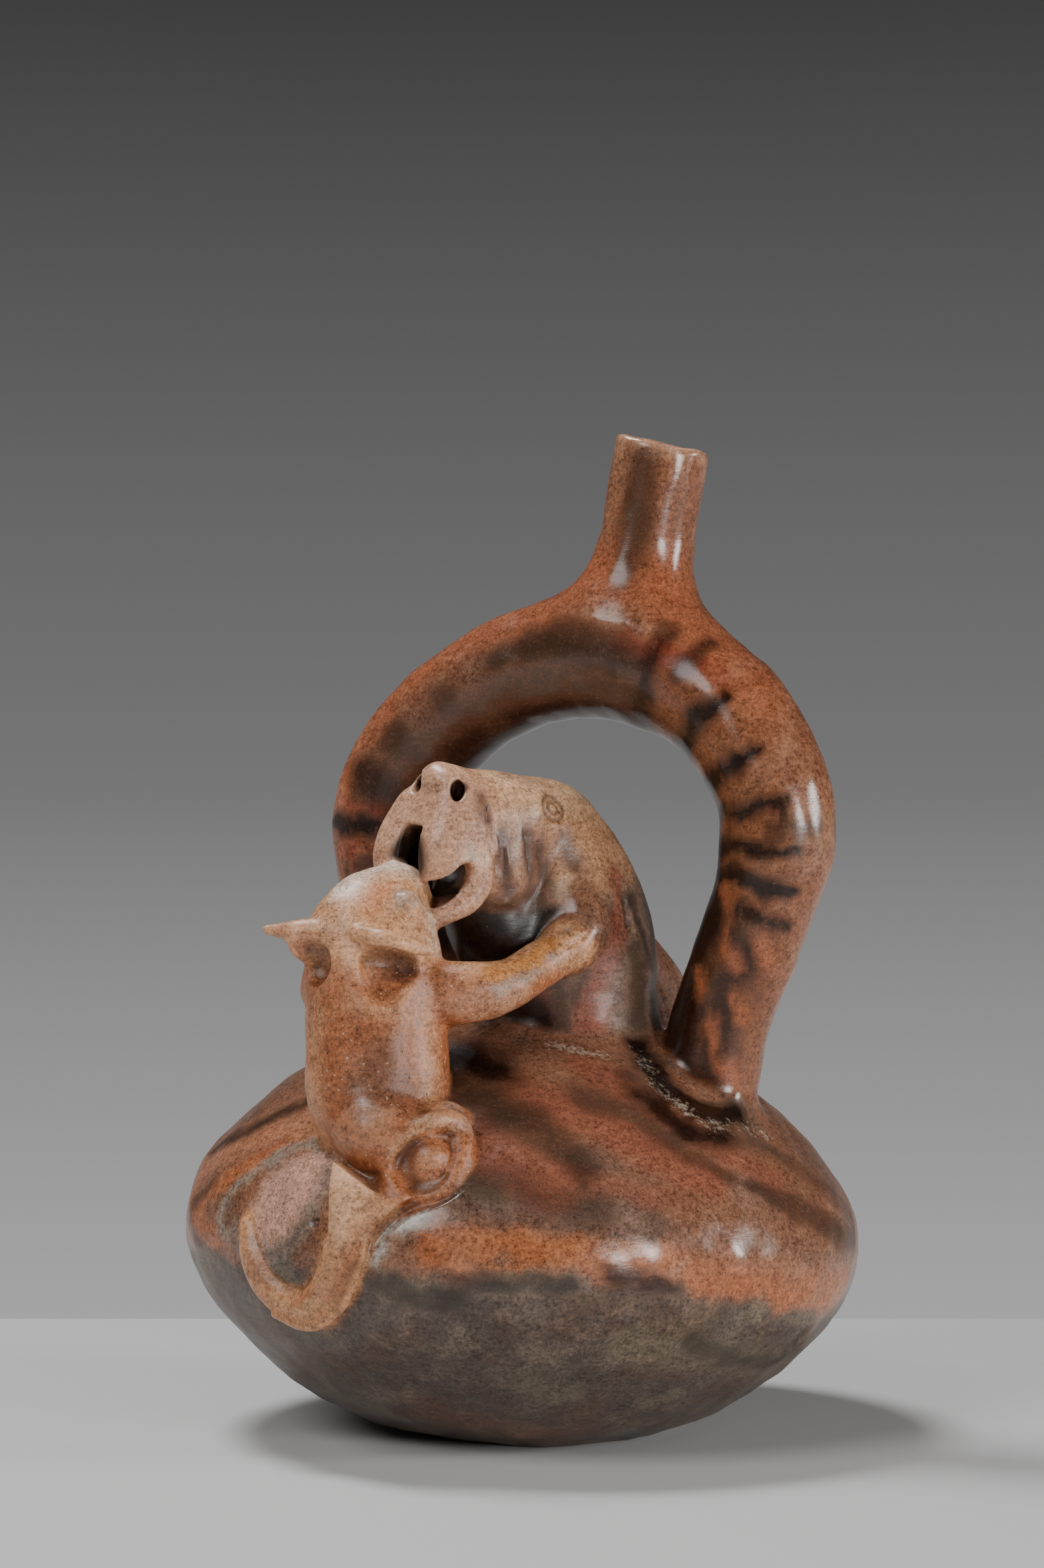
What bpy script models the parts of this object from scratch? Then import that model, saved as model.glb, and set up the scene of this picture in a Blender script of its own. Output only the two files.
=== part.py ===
"""Stirrup-spout bottle of fired clay with a beast biting an animal, one hollow piece."""

import math

import bpy
from mathutils import Matrix, Vector

MM = 0.001

# whole bottle, millimetres and degrees
LEAN_DEG = 3.0
BODY_RADIUS = 75.5
EQUATOR_HEIGHT = 44.1
DOME_HEIGHT = 49.5
BOWL_DEPTH = 46.5
WALL = 5.0
FLOOR_WALL = 6.5

# stirrup handle, a tube in an upright plane turned toward the viewer
STIRRUP_TURN_DEG = -30.0
STIRRUP_SIDE_OFFSET = 7.8
STIRRUP_DEPTH_OFFSET = 3.4
STIRRUP_HALF_SPAN = 49.6
STIRRUP_TOP_HEIGHT = 174.0
STIRRUP_TUBE_RADIUS = 13.4
STIRRUP_BORE_RADIUS = 8.0
STIRRUP_FOOT_DEPTH = 4.0

# spout on the stirrup
SPOUT_RADIUS = 10.6
SPOUT_BORE_RADIUS = 7.4
SPOUT_RISE = 48.0
SPOUT_FLARE_RADIUS = 22.0
SPOUT_SIDE_OFFSET = 9.6
SPOUT_LEAN_DEG = 7.5
RIM_SLOPE_DEG = 3.0
RIM_BEVEL = 0.9

# beast whose neck rises under the stirrup
BEAST_AZIMUTH_DEG = -44.0
BEAST_OUT = 11.4
BEAST_NECK_HEIGHT = 38.2
BEAST_NECK_RADIUS = 20.0
BEAST_NECK_BORE = 12.5
BEAST_RIDGE_RADIUS = 7.0
BEAST_HEAD_TURN_DEG = -141.0
BEAST_HEAD_LENGTH = 39.0
BEAST_HEAD_WIDTH = 25.0
BEAST_HEAD_HEIGHT = 24.0
FANG_LENGTH = 20.0
FANG_WIDTH = 9.0
LIP_GAP = 7.0
LIP_SHIFT = 1.8
JAW_LENGTH = 14.0
JAW_RADIUS = 3.7
NOSTRIL_SPACING = 11.4
NOSTRIL_RADIUS = 1.6

# animal that stands on the shoulder with its snout in the beast's mouth
ANIMAL_AZIMUTH_DEG = -123.3
ANIMAL_OUT = 56.2
TORSO_RADIUS = 15.1
TORSO_BORE = 10.0
TORSO_HEIGHT = 30.0
SKULL_RADIUS = 13.0
SNOUT_RADIUS = 7.2
EAR_LENGTH = 15.0
EAR_RADIUS = 4.8
EYE_RADIUS = 2.6
ARM_ROOT_RADIUS = 7.3
ARM_TIP_RADIUS = 4.0
HAUNCH_RADIUS = 8.5
FOOT_RADIUS = 5.5
TAIL_RADIUS = 4.8
TAIL_SUNK = 1.2

# grain of the melted figures and how many triangles they keep
HEAD_GRAIN = 0.9
FIGURE_GRAIN = 0.8
MOUTH_GRAIN = 0.5
FIGURE_TRIANGLES = 4240

# shares of the height above and below the equator, and of the body radius
DOME_PROFILE = (
    (0.065, 0.996),
    (0.155, 0.980),
    (0.246, 0.952),
    (0.339, 0.909),
    (0.430, 0.857),
    (0.521, 0.795),
    (0.606, 0.731),
    (0.687, 0.662),
    (0.768, 0.583),
    (0.848, 0.490),
    (0.917, 0.378),
    (0.968, 0.245),
    (0.993, 0.120),
    (1.0, 0.0),
)
BOWL_PROFILE = (
    (0.028, 1.0),
    (0.127, 0.992),
    (0.224, 0.972),
    (0.320, 0.940),
    (0.419, 0.896),
    (0.516, 0.838),
    (0.613, 0.774),
    (0.710, 0.702),
    (0.809, 0.608),
    (0.886, 0.503),
    (0.940, 0.405),
    (0.978, 0.260),
    (1.0, 0.0),
)

# shares of the stirrup's half span, of its height and of its tube radius, foot to top
STIRRUP_RIGHT = (
    (0.705, 0.43, 0.84),
    (0.762, 0.544, 0.81),
    (0.866, 0.629, 0.84),
    (0.956, 0.706, 0.87),
    (0.99, 0.772, 0.94),
    (0.935, 0.85, 0.96),
    (0.69, 0.938, 0.99),
    (0.36, 0.981, 1.0),
)
STIRRUP_LEFT = (
    (0.69, 0.43, 0.84),
    (0.765, 0.53, 0.82),
    (0.91, 0.625, 0.84),
    (1.0, 0.70, 0.91),
    (1.02, 0.785, 0.96),
    (0.91, 0.857, 0.97),
    (0.645, 0.928, 0.985),
    (0.32, 0.977, 1.0),
)
STIRRUP_CROWN = (0.03, 0.992, 1.0)


def clear_scene():
    for old in list(bpy.data.objects):
        bpy.data.objects.remove(old, do_unlink=True)


def new_collection(name):
    group = bpy.data.collections.new(name)
    bpy.context.scene.collection.children.link(group)
    return group


def profile_points(inset_side, inset_top, inset_floor, step=1):
    """Outline from the crown down to the underside, as radius and height."""
    radius = BODY_RADIUS - inset_side
    dome = DOME_HEIGHT - inset_top
    bowl = BOWL_DEPTH - inset_floor
    tops = DOME_PROFILE[::-1][::step]
    lows = BOWL_PROFILE[::-1][::step][::-1]
    upper = [(radius * r, EQUATOR_HEIGHT + dome * h) for h, r in tops]
    lower = [(radius * r, EQUATOR_HEIGHT - bowl * h) for h, r in lows]
    return upper + lower


def body_radius_at(height):
    """Outer radius of the body at a height in the bottle's own frame."""
    points = profile_points(0.0, 0.0, 0.0)
    for (r0, h0), (r1, h1) in zip(points, points[1:]):
        if h1 <= height <= h0:
            return r0 + (r1 - r0) * (h0 - height) / (h0 - h1)
    return 0.0


def shoulder_height_at(radius):
    """Height of the outer dome at a distance from the axis."""
    points = [p for p in profile_points(0.0, 0.0, 0.0) if p[1] >= EQUATOR_HEIGHT]
    for (r0, h0), (r1, h1) in zip(points, points[1:]):
        if r0 <= radius <= r1:
            return h0 + (h1 - h0) * (radius - r0) / (r1 - r0)
    return EQUATOR_HEIGHT


def polar(azimuth_deg, radius, height):
    angle = math.radians(azimuth_deg)
    return Vector((radius * math.cos(angle), radius * math.sin(angle), height))


def mesh_of(obj):
    """Mesh of an object after its modifiers or bevel, in the scene's frame."""
    graph = bpy.context.evaluated_depsgraph_get()
    mesh = bpy.data.meshes.new_from_object(obj.evaluated_get(graph))
    mesh.transform(obj.matrix_world)
    return mesh


def keep(obj, name, group):
    """Replaces an object with its finished mesh."""
    bpy.context.view_layer.update()
    mesh = mesh_of(obj)
    bpy.data.objects.remove(obj, do_unlink=True)
    done = bpy.data.objects.new(name, mesh)
    group.objects.link(done)
    return done


def weld(obj):
    modifier = obj.modifiers.new("weld", "WELD")
    modifier.merge_threshold = 0.00001


def lathe(name, points, steps, group):
    """Solid of revolution about the upright axis through the frame's origin."""
    mesh = bpy.data.meshes.new(name)
    verts = [(r * MM, 0.0, z * MM) for r, z in points]
    mesh.from_pydata(verts, [(i, i + 1) for i in range(len(verts) - 1)], [])
    obj = bpy.data.objects.new(name, mesh)
    group.objects.link(obj)
    screw = obj.modifiers.new("turn", "SCREW")
    screw.axis = "Z"
    screw.steps = steps
    screw.render_steps = steps
    screw.use_merge_vertices = True
    screw.merge_threshold = 0.00001
    weld(obj)
    return keep(obj, name, group)


def tube(name, path, radii, sides, between, group):
    """Round bar along a smooth path with its own radius at each point."""
    curve = bpy.data.curves.new(name, "CURVE")
    curve.dimensions = "3D"
    curve.resolution_u = between
    curve.render_resolution_u = between
    curve.bevel_depth = MM
    curve.bevel_resolution = sides
    curve.use_fill_caps = True
    spline = curve.splines.new("BEZIER")
    spline.bezier_points.add(len(path) - 1)
    for knot, place, radius in zip(spline.bezier_points, path, radii):
        knot.co = Vector(place) * MM
        knot.radius = radius
        knot.handle_left_type = "AUTO"
        knot.handle_right_type = "AUTO"
    obj = bpy.data.objects.new(name, curve)
    group.objects.link(obj)
    bar = keep(obj, name + "_bar", group)
    weld(bar)
    return keep(bar, name, group)


def ball(name, centre, radii, turn_deg, tip_deg, group):
    """Ellipsoid; its first radius points along the turn, tipped up by the second angle."""
    bpy.ops.mesh.primitive_uv_sphere_add(segments=24, ring_count=14, radius=1.0)
    made = bpy.context.active_object
    turn = Matrix.Rotation(math.radians(turn_deg), 4, "Z")
    tip = Matrix.Rotation(math.radians(-tip_deg), 4, "Y")
    size = Matrix.Diagonal((radii[0] * MM, radii[1] * MM, radii[2] * MM, 1.0))
    mesh = made.data
    mesh.transform(Matrix.Translation(Vector(centre) * MM) @ turn @ tip @ size)
    bpy.data.objects.remove(made, do_unlink=True)
    obj = bpy.data.objects.new(name, mesh)
    group.objects.link(obj)
    return obj


def limb(name, path, radii, group):
    """Bar with round ends."""
    bar = tube(name, path, radii, 6, 4, group)
    start = ball(name + "_start", path[0], [radii[0]] * 3, 0.0, 0.0, group)
    end = ball(name + "_end", path[-1], [radii[-1]] * 3, 0.0, 0.0, group)
    return [bar, start, end]


def joined(name, pieces, group):
    """One mesh object that holds copies of all the pieces."""
    verts = []
    faces = []
    for piece in pieces:
        base = len(verts)
        verts.extend(tuple(v.co) for v in piece.data.vertices)
        faces.extend([base + i for i in f.vertices] for f in piece.data.polygons)
        bpy.data.objects.remove(piece, do_unlink=True)
    mesh = bpy.data.meshes.new(name)
    mesh.from_pydata(verts, [], faces)
    obj = bpy.data.objects.new(name, mesh)
    group.objects.link(obj)
    return obj


def fused(name, pieces, voxel, smooth_steps, group):
    """Overlapping solids melted into one skin."""
    obj = joined(name + "_parts", pieces, group)
    remesh = obj.modifiers.new("melt", "REMESH")
    remesh.mode = "VOXEL"
    remesh.voxel_size = voxel * MM
    if smooth_steps:
        smooth = obj.modifiers.new("soften", "SMOOTH")
        smooth.factor = 0.5
        smooth.iterations = smooth_steps
    return keep(obj, name, group)


def boolean(obj, tool, operation):
    modifier = obj.modifiers.new(operation.lower() + "_" + tool.name, "BOOLEAN")
    modifier.operation = operation
    modifier.solver = "EXACT"
    modifier.object = tool


def triangles(obj):
    return sum(len(face.vertices) - 2 for face in obj.data.polygons)


def thinned(obj, target, name, group):
    count = triangles(obj)
    decimate = obj.modifiers.new("thin", "DECIMATE")
    decimate.ratio = min(1.0, target / count)
    decimate.use_collapse_triangulate = True
    return keep(obj, name, group)


def stirrup_path(foot_drop):
    """Centre line of the stirrup from the right foot over the top to the left foot."""
    turn = math.radians(STIRRUP_TURN_DEG)
    along = Vector((math.cos(turn), math.sin(turn), 0.0))
    across = Vector((-math.sin(turn), math.cos(turn), 0.0))
    path = []
    for share, height, _ in stirrup_shares():
        side = STIRRUP_SIDE_OFFSET + share * STIRRUP_HALF_SPAN
        place = along * side + across * STIRRUP_DEPTH_OFFSET
        path.append(place + Vector((0.0, 0.0, height * STIRRUP_TOP_HEIGHT)))
    path[0].z -= foot_drop
    path[-1].z -= foot_drop
    return path


def stirrup_shares():
    left = [(-share, height, thick) for share, height, thick in reversed(STIRRUP_LEFT)]
    return [*STIRRUP_RIGHT, STIRRUP_CROWN, *left]


def spout_frame():
    """Frame of the spout: origin on the stirrup's centre line, axis up the spout."""
    turn = Matrix.Rotation(math.radians(STIRRUP_TURN_DEG), 4, "Z")
    side = STIRRUP_SIDE_OFFSET + SPOUT_SIDE_OFFSET
    place = Vector((side, STIRRUP_DEPTH_OFFSET, STIRRUP_TOP_HEIGHT)) * MM
    lean = Matrix.Rotation(math.radians(SPOUT_LEAN_DEG), 4, "Y")
    return turn @ Matrix.Translation(place) @ lean


def spout_outside(group):
    step = SPOUT_FLARE_RADIUS - SPOUT_RADIUS
    points = [
        (0.0, SPOUT_RISE),
        (SPOUT_RADIUS - RIM_BEVEL, SPOUT_RISE),
        (SPOUT_RADIUS, SPOUT_RISE - RIM_BEVEL),
        (SPOUT_RADIUS, SPOUT_RISE * 0.54),
        (SPOUT_RADIUS + step * 0.12, SPOUT_RISE * 0.44),
        (SPOUT_RADIUS + step * 0.34, SPOUT_RISE * 0.34),
        (SPOUT_RADIUS + step * 0.62, SPOUT_RISE * 0.24),
        (SPOUT_FLARE_RADIUS * 0.93, SPOUT_RISE * 0.10),
        (STIRRUP_TUBE_RADIUS * 0.75, 0.0),
        (0.0, -STIRRUP_TUBE_RADIUS * 0.3),
    ]
    obj = lathe("spout_outside", points, 28, group)
    slope = Matrix.Rotation(math.radians(RIM_SLOPE_DEG), 4, "Y")
    rim = Vector((0.0, 0.0, SPOUT_RISE * MM))
    tilt = Matrix.Translation(rim) @ slope @ Matrix.Translation(-rim)
    for vertex in obj.data.vertices:
        if vertex.co.z > (SPOUT_RISE - RIM_BEVEL * 1.6) * MM:
            vertex.co = tilt @ vertex.co
    obj.data.transform(spout_frame())
    return obj


def spout_bore(group):
    points = [
        (0.0, SPOUT_RISE * 1.12),
        (SPOUT_BORE_RADIUS, SPOUT_RISE * 1.12),
        (SPOUT_BORE_RADIUS, SPOUT_RISE * 0.30),
        (SPOUT_BORE_RADIUS * 0.95, SPOUT_RISE * 0.05),
        (0.0, -STIRRUP_BORE_RADIUS * 0.4),
    ]
    obj = lathe("spout_bore", points, 20, group)
    obj.data.transform(spout_frame())
    return obj


def shoulder_point(azimuth_deg, out):
    return polar(azimuth_deg, out, shoulder_height_at(out))


def from_root(root, length, *shares):
    """Place given from a root as shares of one length, to the right, back and up."""
    return root + Vector(shares) * length


def beast_root():
    return shoulder_point(BEAST_AZIMUTH_DEG, BEAST_OUT)


def head_axes():
    turn = math.radians(BEAST_HEAD_TURN_DEG)
    ahead = Vector((math.cos(turn), math.sin(turn), 0.0))
    near = Vector((-math.sin(turn), math.cos(turn), 0.0))
    return ahead, near, Vector((0.0, 0.0, 1.0))


def head_centre():
    """Middle of the beast's skull, where the neck turns over into the head."""
    return from_root(beast_root(), BEAST_NECK_HEIGHT, -0.196, -0.131, 1.0)


def head_point(ahead_mm, near_mm, up_mm):
    """Place given from the skull's middle along the head's own directions."""
    ahead, near, up = head_axes()
    return head_centre() + ahead * ahead_mm + near * near_mm + up * up_mm


def head_ball(name, place, size, tip_deg, group):
    return ball(name, head_point(*place), size, BEAST_HEAD_TURN_DEG, tip_deg, group)


def beast_parts(group):
    root = beast_root()
    tall = BEAST_NECK_HEIGHT
    thick = BEAST_NECK_RADIUS
    long = BEAST_HEAD_LENGTH
    wide = BEAST_HEAD_WIDTH * 0.5
    high = BEAST_HEAD_HEIGHT * 0.5
    neck = [
        from_root(root, tall, 0.0, 0.0, -0.42),
        from_root(root, tall, -0.024, -0.010, 0.092),
        from_root(root, tall, -0.031, -0.021, 0.301),
        from_root(root, tall, -0.071, -0.037, 0.55),
        from_root(root, tall, -0.115, -0.058, 0.759),
        from_root(head_centre(), tall, -0.018, 0.0, 0.010),
    ]
    radii = [thick * 1.12, thick, thick, thick * 0.94, thick * 0.84, thick * 0.71]
    parts = limb("beast_neck", neck, radii, group)
    throat = [
        head_point(long * 0.5, 0.0, -high * 0.95),
        head_point(long * 0.27, 0.0, -high * 1.75),
        from_root(root, tall, -0.21, -0.131, 0.236),
    ]
    parts += limb("beast_throat", throat, [thick * 0.43, thick * 0.57, thick * 0.69], group)
    place = (long * 0.36, 0.0, high * 0.48)
    size = (long * 0.46, wide, high * 0.78)
    parts.append(head_ball("beast_face", place, size, 0.0, group))
    place = (long * 0.40, wide * 0.05, -high * 0.04)
    size = (long * 0.35, wide * 0.94, high * 0.87)
    parts.append(head_ball("beast_cheeks", place, size, 0.0, group))
    place = (long * 0.58, 0.0, high * 0.42)
    size = (long * 0.27, wide * 0.96, high * 0.92)
    parts.append(head_ball("beast_muzzle", place, size, 0.0, group))
    nose = [
        head_point(long * 0.76, -wide * 0.34, high * 0.97),
        head_point(long * 0.755, 0.0, high * 1.0),
        head_point(long * 0.75, wide * 0.32, high * 0.98),
    ]
    parts += limb("beast_nose", nose, [high * 0.36, high * 0.40, high * 0.36], group)
    bridge = [
        head_point(long * 0.74, -wide * 0.05, high * 1.16),
        head_point(long * 0.56, 0.0, high * 1.08),
        head_point(long * 0.33, 0.0, high * 1.0),
    ]
    parts += limb("beast_bridge", bridge, [high * 0.24, high * 0.22, high * 0.15], group)
    place = (long * 0.80, 0.0, high * 0.36)
    size = (long * 0.15, wide * 0.84, high * 0.5)
    parts.append(head_ball("beast_lip", place, size, 0.0, group))
    place = (long * 0.87, -wide * 0.67, -high * 0.12)
    size = (long * 0.145, wide * 0.39, high * 0.8)
    parts.append(head_ball("beast_far_lobe", place, size, 10.0, group))
    chin = head_point(long * 0.72, 0.0, -high * 1.15)
    size = (JAW_LENGTH * 0.55, wide * 0.7, JAW_RADIUS * 0.76)
    parts.append(ball("jaw_floor", chin, size, BEAST_HEAD_TURN_DEG, -25.0, group))
    for side, tag in ((1.0, "near"), (-1.0, "far")):
        across = side * (LIP_GAP * 0.5 + FANG_WIDTH * 0.5)
        place = (long * 0.90, across, -high * 0.12)
        size = (long * 0.135, FANG_WIDTH * 0.52, FANG_LENGTH * 0.5)
        parts.append(head_ball("fang_" + tag, place, size, 24.0, group))
        place = (long * 0.77, side * wide * 0.76, -high * 0.05)
        size = (long * 0.17, wide * 0.29, high * 0.6)
        parts.append(head_ball("cheek_" + tag, place, size, 15.0, group))
        hinge = long * 0.68
        fold = [
            head_point(hinge + JAW_LENGTH * 0.2, side * wide * 0.85, -high * 0.13),
            head_point(hinge, side * wide * 0.88, -high * 0.42),
            head_point(hinge, side * wide * 0.85, -high * 0.75),
            head_point(hinge + JAW_LENGTH * 0.27, side * wide * 0.75, -high * 1.05),
            head_point(hinge + JAW_LENGTH * 0.62, side * wide * 0.62, -high * 1.25),
        ]
        radii = [JAW_RADIUS * 0.7, JAW_RADIUS, JAW_RADIUS * 0.97, JAW_RADIUS * 0.84, JAW_RADIUS * 0.68]
        parts += limb("jaw_" + tag, fold, radii, group)
    ridge = [
        from_root(root, tall, 0.21, 0.157, 0.47),
        from_root(root, tall, 0.42, 0.42, 0.26),
        from_root(root, tall, 0.60, 0.71, -0.026),
        from_root(root, tall, 0.707, 0.864, -0.288),
    ]
    thick = BEAST_RIDGE_RADIUS
    parts += limb("beast_ridge", ridge, [thick * 0.86, thick, thick * 1.14, thick * 1.21], group)
    return parts


def mouth_cutter(group):
    long = BEAST_HEAD_LENGTH
    wide = BEAST_HEAD_WIDTH * 0.5
    high = BEAST_HEAD_HEIGHT * 0.5
    hollow = (long * 0.83, LIP_SHIFT, -high * 0.35)
    size = (long * 0.22, wide * 0.5, high * 0.6)
    cutter = [head_ball("mouth_hollow", hollow, size, -10.0, group)]
    notch = (long * 0.98, LIP_SHIFT, -high * 0.28)
    size = (long * 0.2, LIP_GAP * 0.5, high * 0.56)
    cutter.append(head_ball("mouth_notch", notch, size, 0.0, group))
    corner = (long * 0.91, 0.0, -high * 0.76)
    size = (long * 0.2, wide * 1.3, high * 0.19)
    cutter.append(head_ball("mouth_corner", corner, size, -31.0, group))
    for side in (1.0, -1.0):
        across = side * NOSTRIL_SPACING * 0.5
        start = head_point(long * 0.92, across, high * 1.02)
        end = head_point(long * 0.70, across * 0.8, high * 0.78)
        radii = [NOSTRIL_RADIUS, NOSTRIL_RADIUS * 0.9]
        cutter += limb("nostril", [start, end], radii, group)
    return fused("mouth_cutter", cutter, MOUTH_GRAIN, 0, group)


def animal_root():
    return shoulder_point(ANIMAL_AZIMUTH_DEG, ANIMAL_OUT)


def animal_parts(group):
    root = animal_root()
    tall = TORSO_HEIGHT
    thick = TORSO_RADIUS
    skull = from_root(root, tall, -0.157, 0.233, 1.237)
    snout = from_root(skull, tall, 0.157, 0.167, 0.267)
    torso = [
        from_root(root, tall, 0.013, -0.027, -0.227),
        from_root(root, tall, -0.05, 0.033, 0.04),
        from_root(root, tall, -0.077, 0.083, 0.4),
        from_root(root, tall, -0.107, 0.133, 0.75),
        from_root(root, tall, -0.14, 0.18, 1.0),
        skull,
        snout,
    ]
    radii = [thick * 0.64, thick * 0.97, thick, thick, thick * 0.99, SKULL_RADIUS, SNOUT_RADIUS]
    parts = limb("torso", torso, radii, group)
    ears = (
        ("ear_left", (-0.8, -0.385, -0.3), Vector((-0.73, 0.07, 0.2))),
        ("ear_right", (-0.092, -0.97, -0.323), Vector((0.85, -0.47, 0.18))),
    )
    for name, shares, way in ears:
        start = from_root(skull, SKULL_RADIUS, *shares)
        path = [start, start + way * EAR_LENGTH * 0.5, start + way * EAR_LENGTH]
        radii = [EAR_RADIUS, EAR_RADIUS * 0.72, EAR_RADIUS * 0.19]
        parts += limb(name, path, radii, group)
    for shares in ((0.554, -0.615, 0.569), (-0.523, -0.346, 0.585)):
        place = from_root(skull, SKULL_RADIUS, *shares)
        parts.append(ball("eye", place, [EYE_RADIUS] * 3, 0.0, 0.0, group))
    middle = (ARM_ROOT_RADIUS + ARM_TIP_RADIUS) * 0.5
    hold = beast_root()
    reach = BEAST_NECK_HEIGHT
    right_arm = [
        from_root(root, tall, 0.253, 0.067, 0.82),
        from_root(root, tall, 0.533, 0.033, 0.853),
        from_root(root, tall, 0.817, 0.15, 0.913),
        from_root(hold, reach, -0.196, -0.694, 0.314),
        from_root(hold, reach, -0.052, -0.563, 0.432),
        from_root(hold, reach, -0.01, -0.53, 0.56),
        from_root(hold, reach, -0.08, -0.51, 0.68),
    ]
    radii = [ARM_ROOT_RADIUS, ARM_ROOT_RADIUS * 0.93, middle * 0.96, ARM_TIP_RADIUS * 1.14]
    radii += [ARM_TIP_RADIUS, ARM_TIP_RADIUS * 0.9, ARM_TIP_RADIUS * 0.75]
    parts += limb("arm_right", right_arm, radii, group)
    left_arm = [
        from_root(root, tall, -0.5, 0.267, 0.92),
        from_root(root, tall, -0.3, 0.9, 0.8),
        from_root(root, tall, 0.1, 1.267, 0.79),
        from_root(hold, reach, -0.524, 0.079, 0.079),
    ]
    radii = [middle, middle, ARM_TIP_RADIUS * 1.15, ARM_TIP_RADIUS]
    parts += limb("arm_left", left_arm, radii, group)
    thigh = from_root(root, tall, 0.32, -0.42, -0.287)
    size = (HAUNCH_RADIUS, HAUNCH_RADIUS * 0.72, HAUNCH_RADIUS)
    parts.append(ball("thigh", thigh, size, 30.0, 0.0, group))
    hip = from_root(root, tall, 0.42, -0.3, -0.183)
    size = (HAUNCH_RADIUS * 0.95, HAUNCH_RADIUS * 0.62, HAUNCH_RADIUS)
    parts.append(ball("hip", hip, size, 30.0, 0.0, group))
    ankle = from_root(thigh, tall, 0.0, -0.033, -0.1)
    heel = from_root(root, tall, 0.067, -0.6, -0.617)
    parts += limb("foot", [ankle, heel], [FOOT_RADIUS, FOOT_RADIUS * 0.64], group)
    return parts


def tail_parts(group):
    """Tail laid on the body's side, from the rump down and round to the left."""
    turn = ANIMAL_AZIMUTH_DEG
    course = (
        (turn + 3.0, 0.265, 1.7),
        (turn + 3.2, 0.185, 1.5),
        (turn + 3.6, 0.106, 1.2),
        (turn + 3.6, 0.020, 1.0),
        (turn + 2.0, -0.073, 1.0),
        (turn - 2.6, -0.154, 1.0),
        (turn - 8.6, -0.156, 0.94),
        (turn - 13.4, -0.111, 0.85),
        (turn - 16.2, -0.040, 0.72),
        (turn - 18.4, 0.040, 0.5),
    )
    path = []
    for azimuth, rise, _ in course:
        height = EQUATOR_HEIGHT + BODY_RADIUS * rise
        path.append(polar(azimuth, body_radius_at(height) - TAIL_SUNK, height))
    return limb("tail", path, [TAIL_RADIUS * share for _, _, share in course], group)


def cavity(group):
    """Everything empty inside: chamber, stirrup bore, spout bore and hollow figures."""
    chamber = lathe("chamber", profile_points(WALL, WALL, FLOOR_WALL, 2), 36, group)
    path = stirrup_path(STIRRUP_FOOT_DEPTH * 2.5)
    bore = tube("stirrup_bore", path, [STIRRUP_BORE_RADIUS] * len(path), 3, 2, group)
    spout = spout_bore(group)
    root = beast_root()
    tall = BEAST_NECK_HEIGHT
    neck = [
        from_root(root, tall, 0.0, 0.0, -0.366),
        from_root(root, tall, -0.037, -0.021, 0.157),
        from_root(root, tall, -0.084, -0.037, 0.524),
    ]
    hollow = BEAST_NECK_BORE
    neck_bore = tube("neck_bore", neck, [hollow, hollow, hollow * 0.8], 4, 3, group)
    root = animal_root()
    tall = TORSO_HEIGHT
    body = [
        from_root(root, tall, 0.05, 0.1, -0.467),
        from_root(root, tall, -0.04, 0.067, 0.4),
        from_root(root, tall, -0.087, 0.12, 0.84),
    ]
    hollow = TORSO_BORE
    torso_bore = tube("torso_bore", body, [hollow, hollow, hollow * 0.8], 4, 3, group)
    for tool in (bore, spout, neck_bore, torso_bore):
        boolean(chamber, tool, "UNION")
    inside = keep(chamber, "inside", group)
    for tool in (bore, spout, neck_bore, torso_bore):
        bpy.data.objects.remove(tool, do_unlink=True)
    return inside


def clay():
    material = bpy.data.materials.new("clay")
    material.use_nodes = True
    shader = material.node_tree.nodes["Principled BSDF"]
    shader.inputs["Base Color"].default_value = (0.33, 0.13, 0.065, 1.0)
    shader.inputs["Roughness"].default_value = 0.42
    shader.inputs["Metallic"].default_value = 0.0
    return material


def build():
    clear_scene()
    pieces = new_collection("stirrup_spout_vase")
    tools = new_collection("cutters")
    lean = Matrix.Rotation(math.radians(LEAN_DEG), 4, "Y")

    beast = fused("beast", beast_parts(tools), HEAD_GRAIN, 0, tools)
    mouth = mouth_cutter(tools)
    boolean(beast, mouth, "DIFFERENCE")
    beast = keep(beast, "beast_open", tools)
    bpy.data.objects.remove(mouth, do_unlink=True)
    animal = joined("animal", animal_parts(tools) + tail_parts(tools), tools)
    figures = fused("figures_fine", [beast, animal], FIGURE_GRAIN, 3, tools)
    figures = thinned(figures, FIGURE_TRIANGLES, "figures", tools)

    path = stirrup_path(STIRRUP_FOOT_DEPTH)
    radii = [STIRRUP_TUBE_RADIUS * thick for _, _, thick in stirrup_shares()]
    stirrup = tube("stirrup", path, radii, 6, 2, tools)
    spout = spout_outside(tools)
    inside = cavity(tools)
    size = BODY_RADIUS * 2.6 * MM
    bpy.ops.mesh.primitive_cube_add(size=1.0)
    block = bpy.context.active_object
    move = Matrix.Translation((0.0, 0.0, -size * 0.5))
    block.data.transform(move @ Matrix.Diagonal((size, size, size, 1.0)))
    ground = bpy.data.objects.new("ground", block.data)
    bpy.data.objects.remove(block, do_unlink=True)
    tools.objects.link(ground)

    vase = lathe("vase", profile_points(0.0, 0.0, 0.0), 54, pieces)
    for leaning in (vase, stirrup, spout, figures, inside):
        leaning.data.transform(lean)
    for added in (stirrup, spout, figures):
        boolean(vase, added, "UNION")
    boolean(vase, inside, "DIFFERENCE")
    boolean(vase, ground, "DIFFERENCE")
    weld(vase)
    for tool in (stirrup, spout, figures, inside, ground):
        tool.hide_render = True
        tool.display_type = "WIRE"
    vase.data.materials.clear()
    vase.data.materials.append(clay())


build()
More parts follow.
